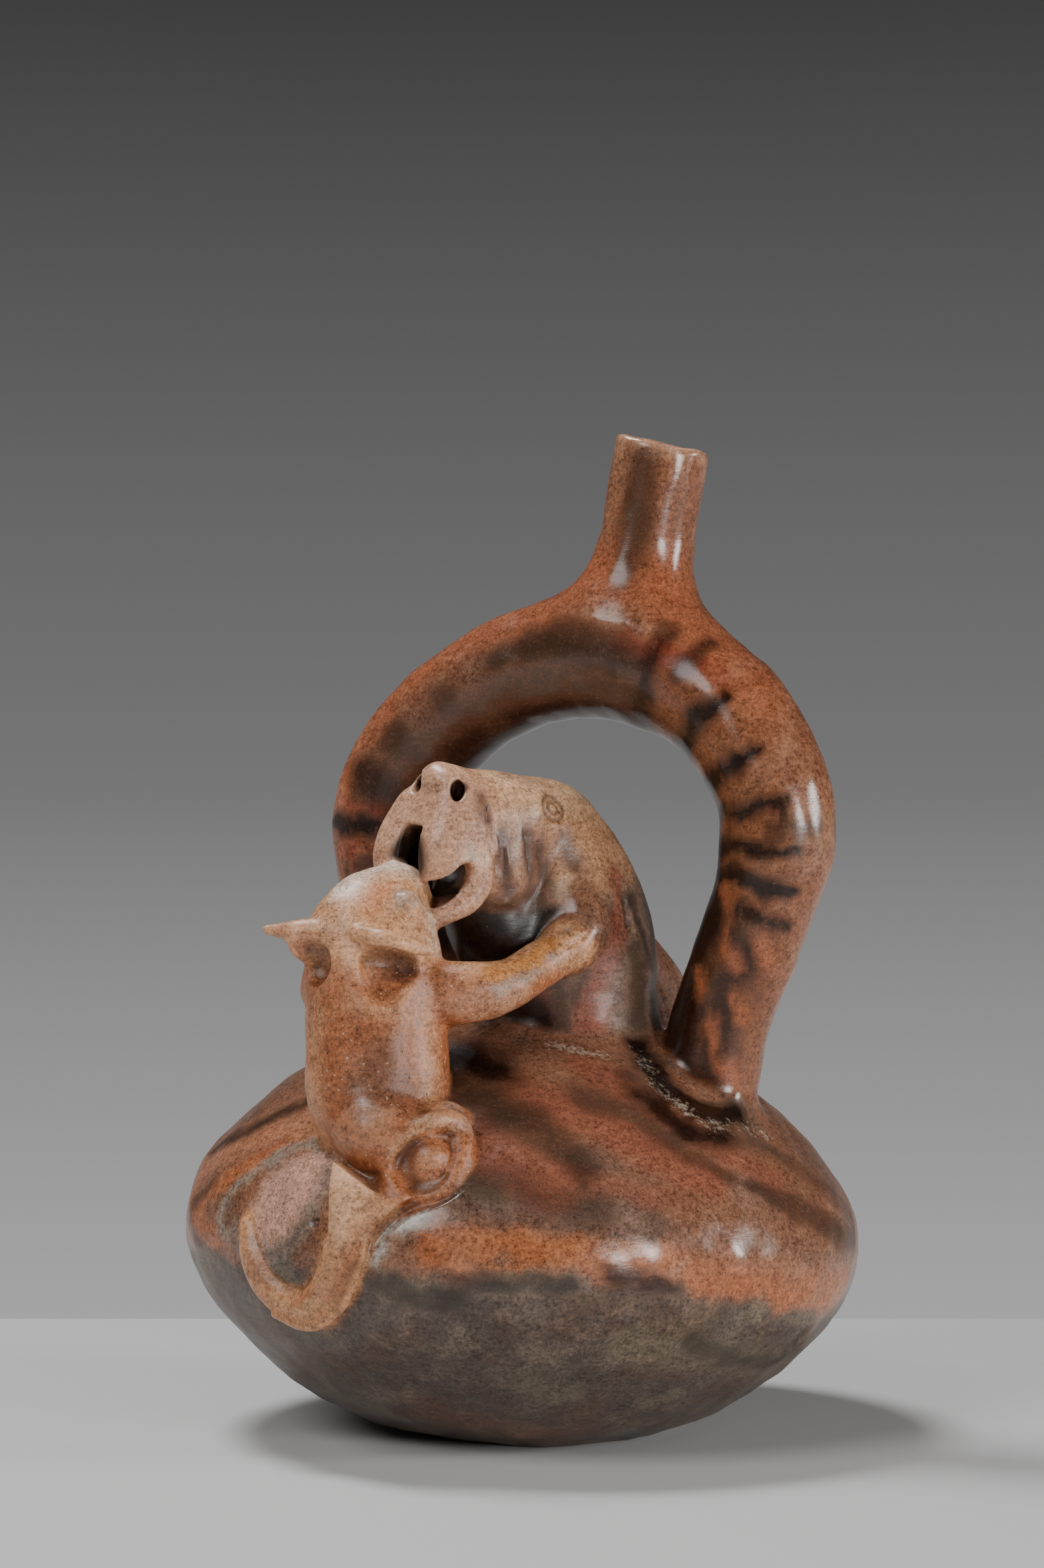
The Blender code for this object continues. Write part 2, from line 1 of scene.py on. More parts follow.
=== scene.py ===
"""Stirrup-spout bottle of painted, burnished clay: a beast bites the snout of an animal."""

import math

import bpy
import numpy as np
import openvdb
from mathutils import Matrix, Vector, noise


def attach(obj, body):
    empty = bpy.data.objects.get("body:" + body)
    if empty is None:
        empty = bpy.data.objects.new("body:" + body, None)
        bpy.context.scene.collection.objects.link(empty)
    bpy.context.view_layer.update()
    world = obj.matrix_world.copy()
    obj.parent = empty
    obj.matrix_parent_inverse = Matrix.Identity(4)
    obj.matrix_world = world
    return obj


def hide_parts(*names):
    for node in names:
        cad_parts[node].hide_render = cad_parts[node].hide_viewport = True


MM = 0.001

# sculpting lattice in the bottle's own frame, millimetres
CELL = 0.6
FAR = 40.0
REACH = 9.0
LATTICE_LOW = (-81.0, -81.0, -3.0)
LATTICE_HIGH = (81.0, 81.0, 228.0)
TRIANGLES = 190000
# distances from the surface that the mesh is made from
KEPT_DEPTH = 3.0
ALBEDO = 0.8

# whole bottle, millimetres and degrees
LEAN_DEG = 3.0
BODY_RADIUS = 75.5
EQUATOR_HEIGHT = 44.1
DOME_HEIGHT = 49.5
BOWL_DEPTH = 46.5
WALL = 5.0
THIN_WALL = 3.0

# stirrup handle, a tube in an upright plane turned toward the viewer
STIRRUP_TURN_DEG = -30.0
STIRRUP_SIDE_OFFSET = 7.8
STIRRUP_DEPTH_OFFSET = 3.4
STIRRUP_HALF_SPAN = 49.6
STIRRUP_TOP_HEIGHT = 174.0
STIRRUP_WALL = 4.6

# spout on the stirrup
SPOUT_RADIUS = 10.6
SPOUT_BORE_RADIUS = 7.4
SPOUT_RISE = 48.0
SPOUT_SIDE_OFFSET = 9.6
SPOUT_LEAN_DEG = 7.5
RIM_SLOPE_DEG = 3.0

# roots of the two figures on the shoulder
BEAST_AZIMUTH_DEG = -44.0
BEAST_OUT = 11.4
BEAST_HEAD_TURN_DEG = -141.0
ANIMAL_AZIMUTH_DEG = -123.3
ANIMAL_OUT = 56.2

# shares of the height above and below the equator, and of the body radius
DOME_PROFILE = (
    (0.0, 1.0),
    (0.065, 0.996),
    (0.155, 0.980),
    (0.246, 0.952),
    (0.339, 0.909),
    (0.430, 0.857),
    (0.521, 0.795),
    (0.606, 0.731),
    (0.687, 0.662),
    (0.768, 0.583),
    (0.848, 0.490),
    (0.917, 0.378),
    (0.968, 0.245),
    (0.993, 0.120),
    (1.0, 0.0),
)
BOWL_PROFILE = (
    (0.0, 1.0),
    (0.028, 1.0),
    (0.127, 0.992),
    (0.224, 0.972),
    (0.320, 0.940),
    (0.419, 0.896),
    (0.516, 0.838),
    (0.613, 0.774),
    (0.710, 0.702),
    (0.809, 0.608),
    (0.886, 0.503),
    (0.940, 0.405),
    (0.978, 0.260),
    (1.0, 0.0),
)

# shares of the stirrup's half span and of its height, and tube radius, right foot to left foot
STIRRUP_COURSE = (
    (0.70, 0.39, 11.4),
    (0.705, 0.43, 11.2),
    (0.762, 0.544, 10.9),
    (0.866, 0.629, 11.2),
    (0.956, 0.706, 11.6),
    (0.99, 0.772, 12.6),
    (0.935, 0.85, 12.9),
    (0.69, 0.938, 13.3),
    (0.36, 0.981, 13.5),
    (0.03, 0.992, 13.5),
    (-0.32, 0.977, 13.5),
    (-0.645, 0.928, 13.2),
    (-0.91, 0.857, 13.0),
    (-1.02, 0.785, 12.9),
    (-1.0, 0.70, 12.2),
    (-0.91, 0.625, 11.3),
    (-0.765, 0.53, 11.0),
    (-0.69, 0.43, 11.2),
    (-0.69, 0.39, 11.4),
)

# chips along the rim: turn round the spout, depth and size
RIM_CHIPS = (
    (-100.0, 0.3, 2.6),
    (-62.0, 0.25, 1.8),
    (10.0, 0.4, 2.4),
    (75.0, 0.5, 3.0),
    (160.0, 0.5, 2.2),
    (214.0, 0.6, 1.7),
)

# hand-made swells of the clay: length and height of each wave
SWELL_SEED = 7
SWELLS = ((46.0, 0.16), (31.0, 0.14), (23.0, 0.12), (15.0, 0.09), (11.0, 0.07))

# studio: back edge of the table, backdrop greys by rise, and lamps by direction, distance, size and power
FLOOR_BACK = 0.17
BACKDROP = ((0.0, 205), (0.2, 182), (0.5, 118), (0.9, 66), (1.0, 60))
LAMPS = (
    ("lamp_right", (0.64, -0.73, 0.13), 1.1, 0.26, 5.2),
    ("lamp_side", (0.96, -0.23, 0.18), 1.1, 0.26, 5.2),
    ("lamp_top", (-0.34, 0.20, 0.92), 1.1, 0.32, 10.0),
    ("lamp_left", (-0.62, -0.66, 0.66), 1.2, 0.60, 6.5),
)

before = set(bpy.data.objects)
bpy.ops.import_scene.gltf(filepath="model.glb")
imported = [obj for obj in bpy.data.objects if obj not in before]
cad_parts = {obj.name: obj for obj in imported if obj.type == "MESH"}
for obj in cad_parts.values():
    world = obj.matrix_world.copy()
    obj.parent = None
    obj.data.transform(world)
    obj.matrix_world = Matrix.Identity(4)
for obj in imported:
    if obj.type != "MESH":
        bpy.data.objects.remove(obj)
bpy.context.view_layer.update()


# places in the bottle's own frame


def vec(*values):
    return np.array(values, float)


def smooth_course(points, between):
    """Points on a smooth curve through the given rows, Catmull-Rom."""
    rows = np.array(points, float)
    rows = np.vstack([2 * rows[0] - rows[1], rows, 2 * rows[-1] - rows[-2]])
    out = []
    for i in range(1, len(rows) - 2):
        p0, p1, p2, p3 = rows[i - 1 : i + 3]
        for t in np.arange(between) / between:
            line = 2 * p1 + (p2 - p0) * t
            bend = (2 * p0 - 5 * p1 + 4 * p2 - p3) * t * t
            twist = (3 * p1 - p0 - 3 * p2 + p3) * t ** 3
            out.append(0.5 * (line + bend + twist))
    out.append(rows[-2])
    return np.array(out)


def outline(inset):
    """Radius and height from the crown down to the underside."""
    top = smooth_course(DOME_PROFILE[::-1], 4)
    low = smooth_course(BOWL_PROFILE, 4)[1:]
    radius = BODY_RADIUS - inset
    upper = [(radius * r, EQUATOR_HEIGHT + (DOME_HEIGHT - inset) * h) for h, r in top]
    lower = [(radius * r, EQUATOR_HEIGHT - (BOWL_DEPTH - inset) * h) for h, r in low]
    return np.array(upper + lower)


BODY_OUTLINE = outline(0.0)


def body_radius_at(height):
    return float(np.interp(-height, -BODY_OUTLINE[:, 1], BODY_OUTLINE[:, 0]))


def shoulder_height_at(radius):
    dome = BODY_OUTLINE[BODY_OUTLINE[:, 1] >= EQUATOR_HEIGHT]
    return float(np.interp(radius, dome[:, 0], dome[:, 1]))


def polar(azimuth_deg, radius, height):
    angle = math.radians(azimuth_deg)
    return vec(radius * math.cos(angle), radius * math.sin(angle), height)


def turned(azimuth_deg):
    """Rows are the directions along, to the left of, and above a heading."""
    a = math.radians(azimuth_deg)
    return np.array([[math.cos(a), math.sin(a), 0.0], [-math.sin(a), math.cos(a), 0.0], [0.0, 0.0, 1.0]])


def tipped(axes, tip_deg):
    """The same directions with the first one raised by an angle."""
    t = math.radians(tip_deg)
    ahead = axes[0] * math.cos(t) + axes[2] * math.sin(t)
    up = axes[2] * math.cos(t) - axes[0] * math.sin(t)
    return np.array([ahead, axes[1], up])


BEAST = polar(BEAST_AZIMUTH_DEG, BEAST_OUT, shoulder_height_at(BEAST_OUT))
HEAD_AXES = turned(BEAST_HEAD_TURN_DEG)
SKULL = BEAST + vec(-7.5, -5.0, 38.2)
ANIMAL = polar(ANIMAL_AZIMUTH_DEG, ANIMAL_OUT, shoulder_height_at(ANIMAL_OUT))
CROWN = ANIMAL + vec(-4.7, 7.0, 37.1)


def head(ahead, near, up):
    """Place on the beast's head, along its own directions from the skull's middle."""
    return SKULL + HEAD_AXES[0] * ahead + HEAD_AXES[1] * near + HEAD_AXES[2] * up


# distance functions and the lattice they are gathered on


class Shape:
    """A distance function in millimetres and the box that holds its surface."""

    def __init__(self, distance, low, high):
        self.distance = distance
        self.low = np.asarray(low, float)
        self.high = np.asarray(high, float)


def ball(centre, radii, axes=None):
    """Ellipsoid with its radii along the rows of axes."""
    radii = np.broadcast_to(np.asarray(radii, float), (3,))
    axes = np.eye(3) if axes is None else axes
    extent = np.sqrt(((axes * radii[:, None]) ** 2).sum(0))

    def distance(x, y, z):
        dx, dy, dz = x - centre[0], y - centre[1], z - centre[2]
        near = 0.0
        steep = 0.0
        for row, radius in zip(axes, radii):
            part = (dx * row[0] + dy * row[1] + dz * row[2]) / radius
            near = near + part * part
            part = part / radius
            steep = steep + part * part
        near = np.sqrt(near)
        return near * (near - 1.0) / np.maximum(np.sqrt(steep), 1e-6)

    return Shape(distance, centre - extent, centre + extent)


def bar(start, end, start_radius, end_radius, thin=None, ratio=1.0):
    """Round bar; thin is a direction along which it is thinner by the ratio."""
    way = end - start
    length2 = max(float(way @ way), 1e-9)

    def distance(x, y, z):
        dx, dy, dz = x - start[0], y - start[1], z - start[2]
        t = np.clip((dx * way[0] + dy * way[1] + dz * way[2]) / length2, 0.0, 1.0)
        dx, dy, dz = dx - t * way[0], dy - t * way[1], dz - t * way[2]
        gap = dx * dx + dy * dy + dz * dz
        if thin is not None:
            across = dx * thin[0] + dy * thin[1] + dz * thin[2]
            gap = gap + (ratio * ratio - 1.0) * across * across
        return np.sqrt(gap) - (start_radius + (end_radius - start_radius) * t)

    size = max(start_radius, end_radius)
    return Shape(distance, np.minimum(start, end) - size, np.maximum(start, end) + size)


def rope(points, radii, between=5, thin=None, ratio=1.0):
    """Bars along a smooth course, with a radius at each point."""
    rows = smooth_course([list(p) + [r] for p, r in zip(points, radii)], between)
    return [
        bar(a[:3], b[:3], a[3], b[3], thin, ratio) for a, b in zip(rows, rows[1:])
    ]


def slab(place, normal):
    """Half space behind a plane."""
    normal = np.asarray(normal, float) / np.linalg.norm(normal)

    def distance(x, y, z):
        return (x - place[0]) * normal[0] + (y - place[1]) * normal[1] + (z - place[2]) * normal[2]

    return Shape(distance, LATTICE_LOW, LATTICE_HIGH)


def block(centre, half, axes, bevel=1.0, widen=0.0):
    """Box with round edges; it widens along its second axis toward its foot."""
    half = np.asarray(half, float)

    def distance(x, y, z):
        dx, dy, dz = x - centre[0], y - centre[1], z - centre[2]
        a, b, c = (dx * row[0] + dy * row[1] + dz * row[2] for row in axes)
        qa = np.abs(a) - half[0] + bevel
        qb = np.abs(b) - half[1] + bevel + widen * c
        qc = np.abs(c) - half[2] + bevel
        out = np.sqrt(np.maximum(qa, 0) ** 2 + np.maximum(qb, 0) ** 2 + np.maximum(qc, 0) ** 2)
        return out + np.minimum(np.maximum(np.maximum(qa, qb), qc), 0.0) - bevel

    extent = (np.abs(axes) * (half + abs(widen) * half[2])[:, None]).sum(0)
    return Shape(distance, centre - extent, centre + extent)


def curtain(place, radii, axes, girth):
    """Upright form with a squarish plan; girth gives its share of the radii at each height."""
    heights, shares = np.array(girth, float).T

    def distance(x, y, z):
        dx, dy, dz = x - place[0], y - place[1], z - place[2]
        a, b, c = (dx * row[0] + dy * row[1] + dz * row[2] for row in axes)
        share = np.interp(c, heights, shares)
        plan = ((np.abs(a) / radii[0]) ** 2.6 + (np.abs(b) / radii[1]) ** 2.6) ** (1 / 2.6)
        wall = (plan - share) * radii[1] * 0.92
        cap = np.maximum(c - heights.max(), heights.min() - c)
        return np.maximum(wall, cap)

    reach = vec(radii[0], radii[0], max(abs(heights.min()), heights.max()))
    return Shape(distance, place - reach, place + reach)


def turned_solid(points, place, axes):
    """Solid of revolution; points are its outline, radius and height, along the third axis."""
    ring = np.vstack([points, points[::-1] * (-1.0, 1.0)])
    pitch = 0.3
    wide = ring[:, 0].max() + REACH + 2.0
    low = ring[:, 1].min() - REACH - 2.0
    high = ring[:, 1].max() + REACH + 2.0
    rs = np.arange(0.0, wide, pitch)
    hs = np.arange(low, high, pitch)
    r, h = np.meshgrid(rs, hs)
    gap = np.full(r.shape, 1e9)
    inside = np.zeros(r.shape, bool)
    for (r0, h0), (r1, h1) in zip(ring, np.roll(ring, -1, 0)):
        dr, dh = r1 - r0, h1 - h0
        if dr == 0.0 and dh == 0.0:
            continue
        t = np.clip(((r - r0) * dr + (h - h0) * dh) / (dr * dr + dh * dh), 0.0, 1.0)
        gap = np.minimum(gap, (r - r0 - t * dr) ** 2 + (h - h0 - t * dh) ** 2)
        if dh != 0.0:
            crosses = (h0 > h) != (h1 > h)
            inside ^= crosses & (r < r0 + dr * (h - h0) / dh)
    table = np.where(inside, -np.sqrt(gap), np.sqrt(gap)).astype(np.float32)

    def distance(x, y, z):
        dx, dy, dz = x - place[0], y - place[1], z - place[2]
        along = dx * axes[2][0] + dy * axes[2][1] + dz * axes[2][2]
        out2 = dx * dx + dy * dy + dz * dz - along * along
        out = np.sqrt(np.maximum(out2, 0.0))
        i = np.clip(out / pitch, 0, len(rs) - 1.001)
        j = np.clip((along - low) / pitch, 0, len(hs) - 1.001)
        i0, j0 = i.astype(np.int32), j.astype(np.int32)
        fi, fj = i - i0, j - j0
        lower = table[j0, i0] * (1 - fi) + table[j0, i0 + 1] * fi
        upper = table[j0 + 1, i0] * (1 - fi) + table[j0 + 1, i0 + 1] * fi
        return lower * (1 - fj) + upper * fj

    reach = max(ring[:, 0].max(), abs(ring[:, 1]).max()) * 1.5
    return Shape(distance, place - reach, place + reach)


def soft_min(a, b, blend):
    if blend <= 0.0:
        return np.minimum(a, b)
    h = np.maximum(blend - np.abs(a - b), 0.0)
    return np.minimum(a, b) - h * h * (0.25 / blend)


class Clay:
    """A block of the lattice that shapes are added to and cut from."""

    def __init__(self, low, high):
        low = np.maximum(low, LATTICE_LOW)
        high = np.minimum(high, LATTICE_HIGH)
        base = np.array(LATTICE_LOW)
        self.start = np.floor((low - base) / CELL).astype(int)
        self.stop = np.ceil((high - base) / CELL).astype(int) + 1
        self.values = np.full(self.stop - self.start, FAR, np.float32)

    def window(self, low, high):
        """Slices of the block round a box, and the coordinates there."""
        base = np.array(LATTICE_LOW)
        first = np.maximum(np.floor((low - REACH - base) / CELL).astype(int), self.start)
        last = np.minimum(np.ceil((high + REACH - base) / CELL).astype(int) + 1, self.stop)
        if (last <= first).any():
            return None, None
        cut = tuple(slice(a - s, b - s) for a, b, s in zip(first, last, self.start))
        lines = [base[i] + CELL * np.arange(first[i], last[i], dtype=np.float32) for i in range(3)]
        x = lines[0].astype(np.float32)[:, None, None]
        y = lines[1].astype(np.float32)[None, :, None]
        z = lines[2].astype(np.float32)[None, None, :]
        return cut, (x, y, z)

    def add(self, shapes, blend=0.0):
        shapes = shapes if isinstance(shapes, list) else [shapes]
        if len(shapes) > 1:
            low = np.min([s.low for s in shapes], 0) - REACH
            high = np.max([s.high for s in shapes], 0) + REACH
            part = Clay(low, high)
            for shape in shapes:
                part.add(shape)
            self.merge(part, blend)
            return
        shape = shapes[0]
        cut, spots = self.window(shape.low, shape.high)
        if cut is not None:
            there = shape.distance(*spots).astype(np.float32)
            self.values[cut] = soft_min(self.values[cut], there, blend)

    def shared(self, other):
        first = np.maximum(self.start, other.start)
        last = np.minimum(self.stop, other.stop)
        mine = tuple(slice(a - s, b - s) for a, b, s in zip(first, last, self.start))
        theirs = tuple(slice(a - s, b - s) for a, b, s in zip(first, last, other.start))
        return mine, theirs

    def merge(self, other, blend=0.0):
        mine, theirs = self.shared(other)
        self.values[mine] = soft_min(self.values[mine], other.values[theirs], blend)

    def remove(self, other, blend=0.0):
        mine, theirs = self.shared(other)
        self.values[mine] = -soft_min(-self.values[mine], other.values[theirs], blend)

    def cut(self, shapes, blend=0.0):
        shapes = shapes if isinstance(shapes, list) else [shapes]
        low = np.min([s.low for s in shapes], 0) - REACH
        high = np.max([s.high for s in shapes], 0) + REACH
        part = Clay(low, high)
        for shape in shapes:
            part.add(shape)
        self.remove(part, blend)


# the forms


def stirrup_course():
    along = turned(STIRRUP_TURN_DEG)
    places = []
    for share, height, _ in STIRRUP_COURSE:
        side = STIRRUP_SIDE_OFFSET + share * STIRRUP_HALF_SPAN
        place = along[0] * side + along[1] * STIRRUP_DEPTH_OFFSET
        places.append(place + vec(0, 0, height * STIRRUP_TOP_HEIGHT))
    return places


def spout_frame():
    along = turned(STIRRUP_TURN_DEG)
    side = STIRRUP_SIDE_OFFSET + SPOUT_SIDE_OFFSET
    place = along[0] * side + along[1] * STIRRUP_DEPTH_OFFSET + vec(0, 0, STIRRUP_TOP_HEIGHT)
    return place, tipped(along, -SPOUT_LEAN_DEG)


def shell():
    """Body, stirrup and spout."""
    clay = Clay(vec(*LATTICE_LOW), vec(*LATTICE_HIGH))
    upright = np.eye(3)
    clay.add(turned_solid(BODY_OUTLINE, vec(0, 0, 0), upright))
    handle = Clay(vec(-80, -60, 50), vec(80, 60, 228))
    handle.add(rope(stirrup_course(), [row[2] for row in STIRRUP_COURSE], 4))
    place, axes = spout_frame()
    profile = [
        (0.0, SPOUT_RISE + 3.0),
        (SPOUT_RADIUS, SPOUT_RISE + 3.0),
        (SPOUT_RADIUS - 0.2, SPOUT_RISE * 0.75),
        (SPOUT_RADIUS, SPOUT_RISE * 0.56),
        (SPOUT_RADIUS + 0.7, SPOUT_RISE * 0.42),
        (SPOUT_RADIUS + 2.2, SPOUT_RISE * 0.28),
        (SPOUT_RADIUS + 4.0, SPOUT_RISE * 0.15),
        (SPOUT_RADIUS + 2.0, 0.0),
        (0.0, -4.0),
    ]
    handle.add(turned_solid(np.array(profile), place, axes), 13.0)
    slope = tipped(axes, -RIM_SLOPE_DEG)
    handle.cut(block(place + axes[2] * (SPOUT_RISE + 9.0), (22.0, 22.0, 9.0), slope), 1.6)
    for turn, sink, size in RIM_CHIPS:
        a = math.radians(turn)
        way = slope[0] * math.cos(a) + slope[1] * math.sin(a)
        drop = way @ axes[0] * SPOUT_RADIUS * math.tan(math.radians(RIM_SLOPE_DEG))
        spot = place + way * (SPOUT_RADIUS + size * 0.45) + axes[2] * (SPOUT_RISE - drop + size - sink)
        handle.cut(ball(spot, (size, size, size)), 0.8)
    clay.merge(handle, 4.0)
    return clay, handle


def beast():
    """Neck that rises under the stirrup and turns over into an open-mouthed head."""
    clay = Clay(BEAST + vec(-52, -45, -30), BEAST + vec(48, 52, 68))
    clay.add(rope(
        [BEAST + vec(0, 0, -16), BEAST + vec(-0.9, -0.4, 3.5), BEAST + vec(-1.2, -0.8, 11.5),
         BEAST + vec(-2.7, -1.4, 21.0), BEAST + vec(-4.4, -2.2, 29.0), SKULL + vec(-0.7, 0, 0.2)],
        [22.5, 20.2, 20.0, 18.8, 16.7, 13.6]))
    clay.add(rope([head(19.5, 0, -11.4), head(10.5, 0, -21), BEAST + vec(-8, -5, 9)],
                  [8.6, 11.5, 13.8]), 4.0)
    clay.add(ball(head(14.0, 0, 5.6), (17.9, 12.5, 9.4), HEAD_AXES), 4.0)
    clay.add(ball(head(15.5, 0.6, -0.5), (13.5, 11.8, 10.5), HEAD_AXES), 3.0)
    clay.add(ball(head(18.5, 4.5, -7.5), (9.0, 7.5, 6.0), HEAD_AXES), 4.0)
    clay.merge(muzzle(), 2.5)
    clay.cut(ball(head(29.6, 1.2, -5.6), (7.4, 8.0, 7.4), HEAD_AXES), 0.8)
    clay.cut(block(head(37.5, -0.1, -4.6), (8.0, 3.5, 7.2), HEAD_AXES, 0.8, 0.09), 0.6)
    for side, inner in ((1.0, 4.0), (-1.0, 10.0)):
        corner = [bar(head(31.2, inner * side, -7.0), head(31.2, 16.0 * side, -7.0), 1.9, 1.9)]
        slit = block(head(35.4, 11.0 * side, -12.0), (6.7, 12.5 - inner, 2.4), tipped(HEAD_AXES, -46.0),
                     0.8)
        clay.cut([*corner, slit], 0.6)
    clay.merge(jaw(), 1.6)
    for place, way, size in ((head(30.6, 6.2, 10.5), vec(0.66, 0.74, 0.08), (6.0, 1.55, 2.5)),
                             (head(32.6, -4.6, 11.9), vec(0.94, 0.06, 0.05), (5.0, 1.5, 2.4))):
        ahead = HEAD_AXES.T @ (way / np.linalg.norm(way))
        side = np.cross(vec(0, 0, 1), ahead)
        side = side / np.linalg.norm(side)
        axes = np.array([ahead, side, np.cross(ahead, side)])
        clay.cut(ball(place, size, axes), 0.4)
    return clay


def muzzle():
    """Upper lip that hangs in two broad lobes, with the nose on top."""
    clay = Clay(head(24, 0, 0) - 32, head(24, 0, 0) + 32)
    girth = ((-12.6, 0.86), (-11.0, 0.95), (-8.5, 1.0), (-4.0, 1.0), (0.0, 0.97), (4.0, 0.88),
             (7.5, 0.75), (10.0, 0.58), (12.0, 0.34))
    lobes = Clay(head(24, 0, 0) - 32, head(24, 0, 0) + 32)
    lobes.add(curtain(head(24.3, 0, 0), (14.1, 12.9), HEAD_AXES, girth))
    lobes.add(ball(head(34.0, -8.4, -1.4), (5.6, 4.8, 11.0), tipped(HEAD_AXES, 12.0)), 4.0)
    lobes.add(ball(head(29.0, -7.0, 7.0), (4.6, 4.6, 4.6), HEAD_AXES), 4.0)
    for side in (1.0, -1.0):
        low = tipped(HEAD_AXES, -47.0)
        lobes.cut(block(head(30.6, 10.5 * side, -17.6), (16.0, 7.6, 5.0), low, 1.5), 1.2)
    clay.merge(lobes)
    clay.add(block(head(29.0, -0.6, 10.4), (4.3, 7.0, 4.8), HEAD_AXES, 3.2, 0.2), 2.2)
    clay.add(rope([head(29.9, -0.8, 13.3), head(24, 0, 13.0), head(13, 0, 12.2)], [3.6, 2.6, 1.5]), 2.5)
    return clay


def jaw():
    """Lower jaw whose edges rise into the cheeks behind the corners of the mouth."""
    clay = Clay(head(24, 0, -6) - 32, head(24, 0, -6) + 32)
    for side in (1.0, -1.0):
        fold = [head(27.2, 9.4 * side, 0.0), head(26.6, 10.2 * side, -4.0), head(26.4, 10.1 * side, -8.8),
                head(28.4, 9.4 * side, -13.0), head(31.6, 8.4 * side, -15.3), head(34.6, 7.0 * side, -16.9)]
        clay.add(rope(fold, [1.8, 2.8, 2.9, 2.6, 2.4, 2.2]))
    clay.add(ball(head(28.3, 0, -14.6), (7.7, 8.75, 2.6), tipped(HEAD_AXES, -25.0)), 1.5)
    return clay


def spine():
    """Low ridge that runs from the back of the neck down to the shoulder."""
    return rope([BEAST + vec(8, 6, 18), BEAST + vec(16, 16, 10), BEAST + vec(23, 27, -1),
                 BEAST + vec(27, 33, -11)], [6.0, 7.0, 8.0, 8.5])


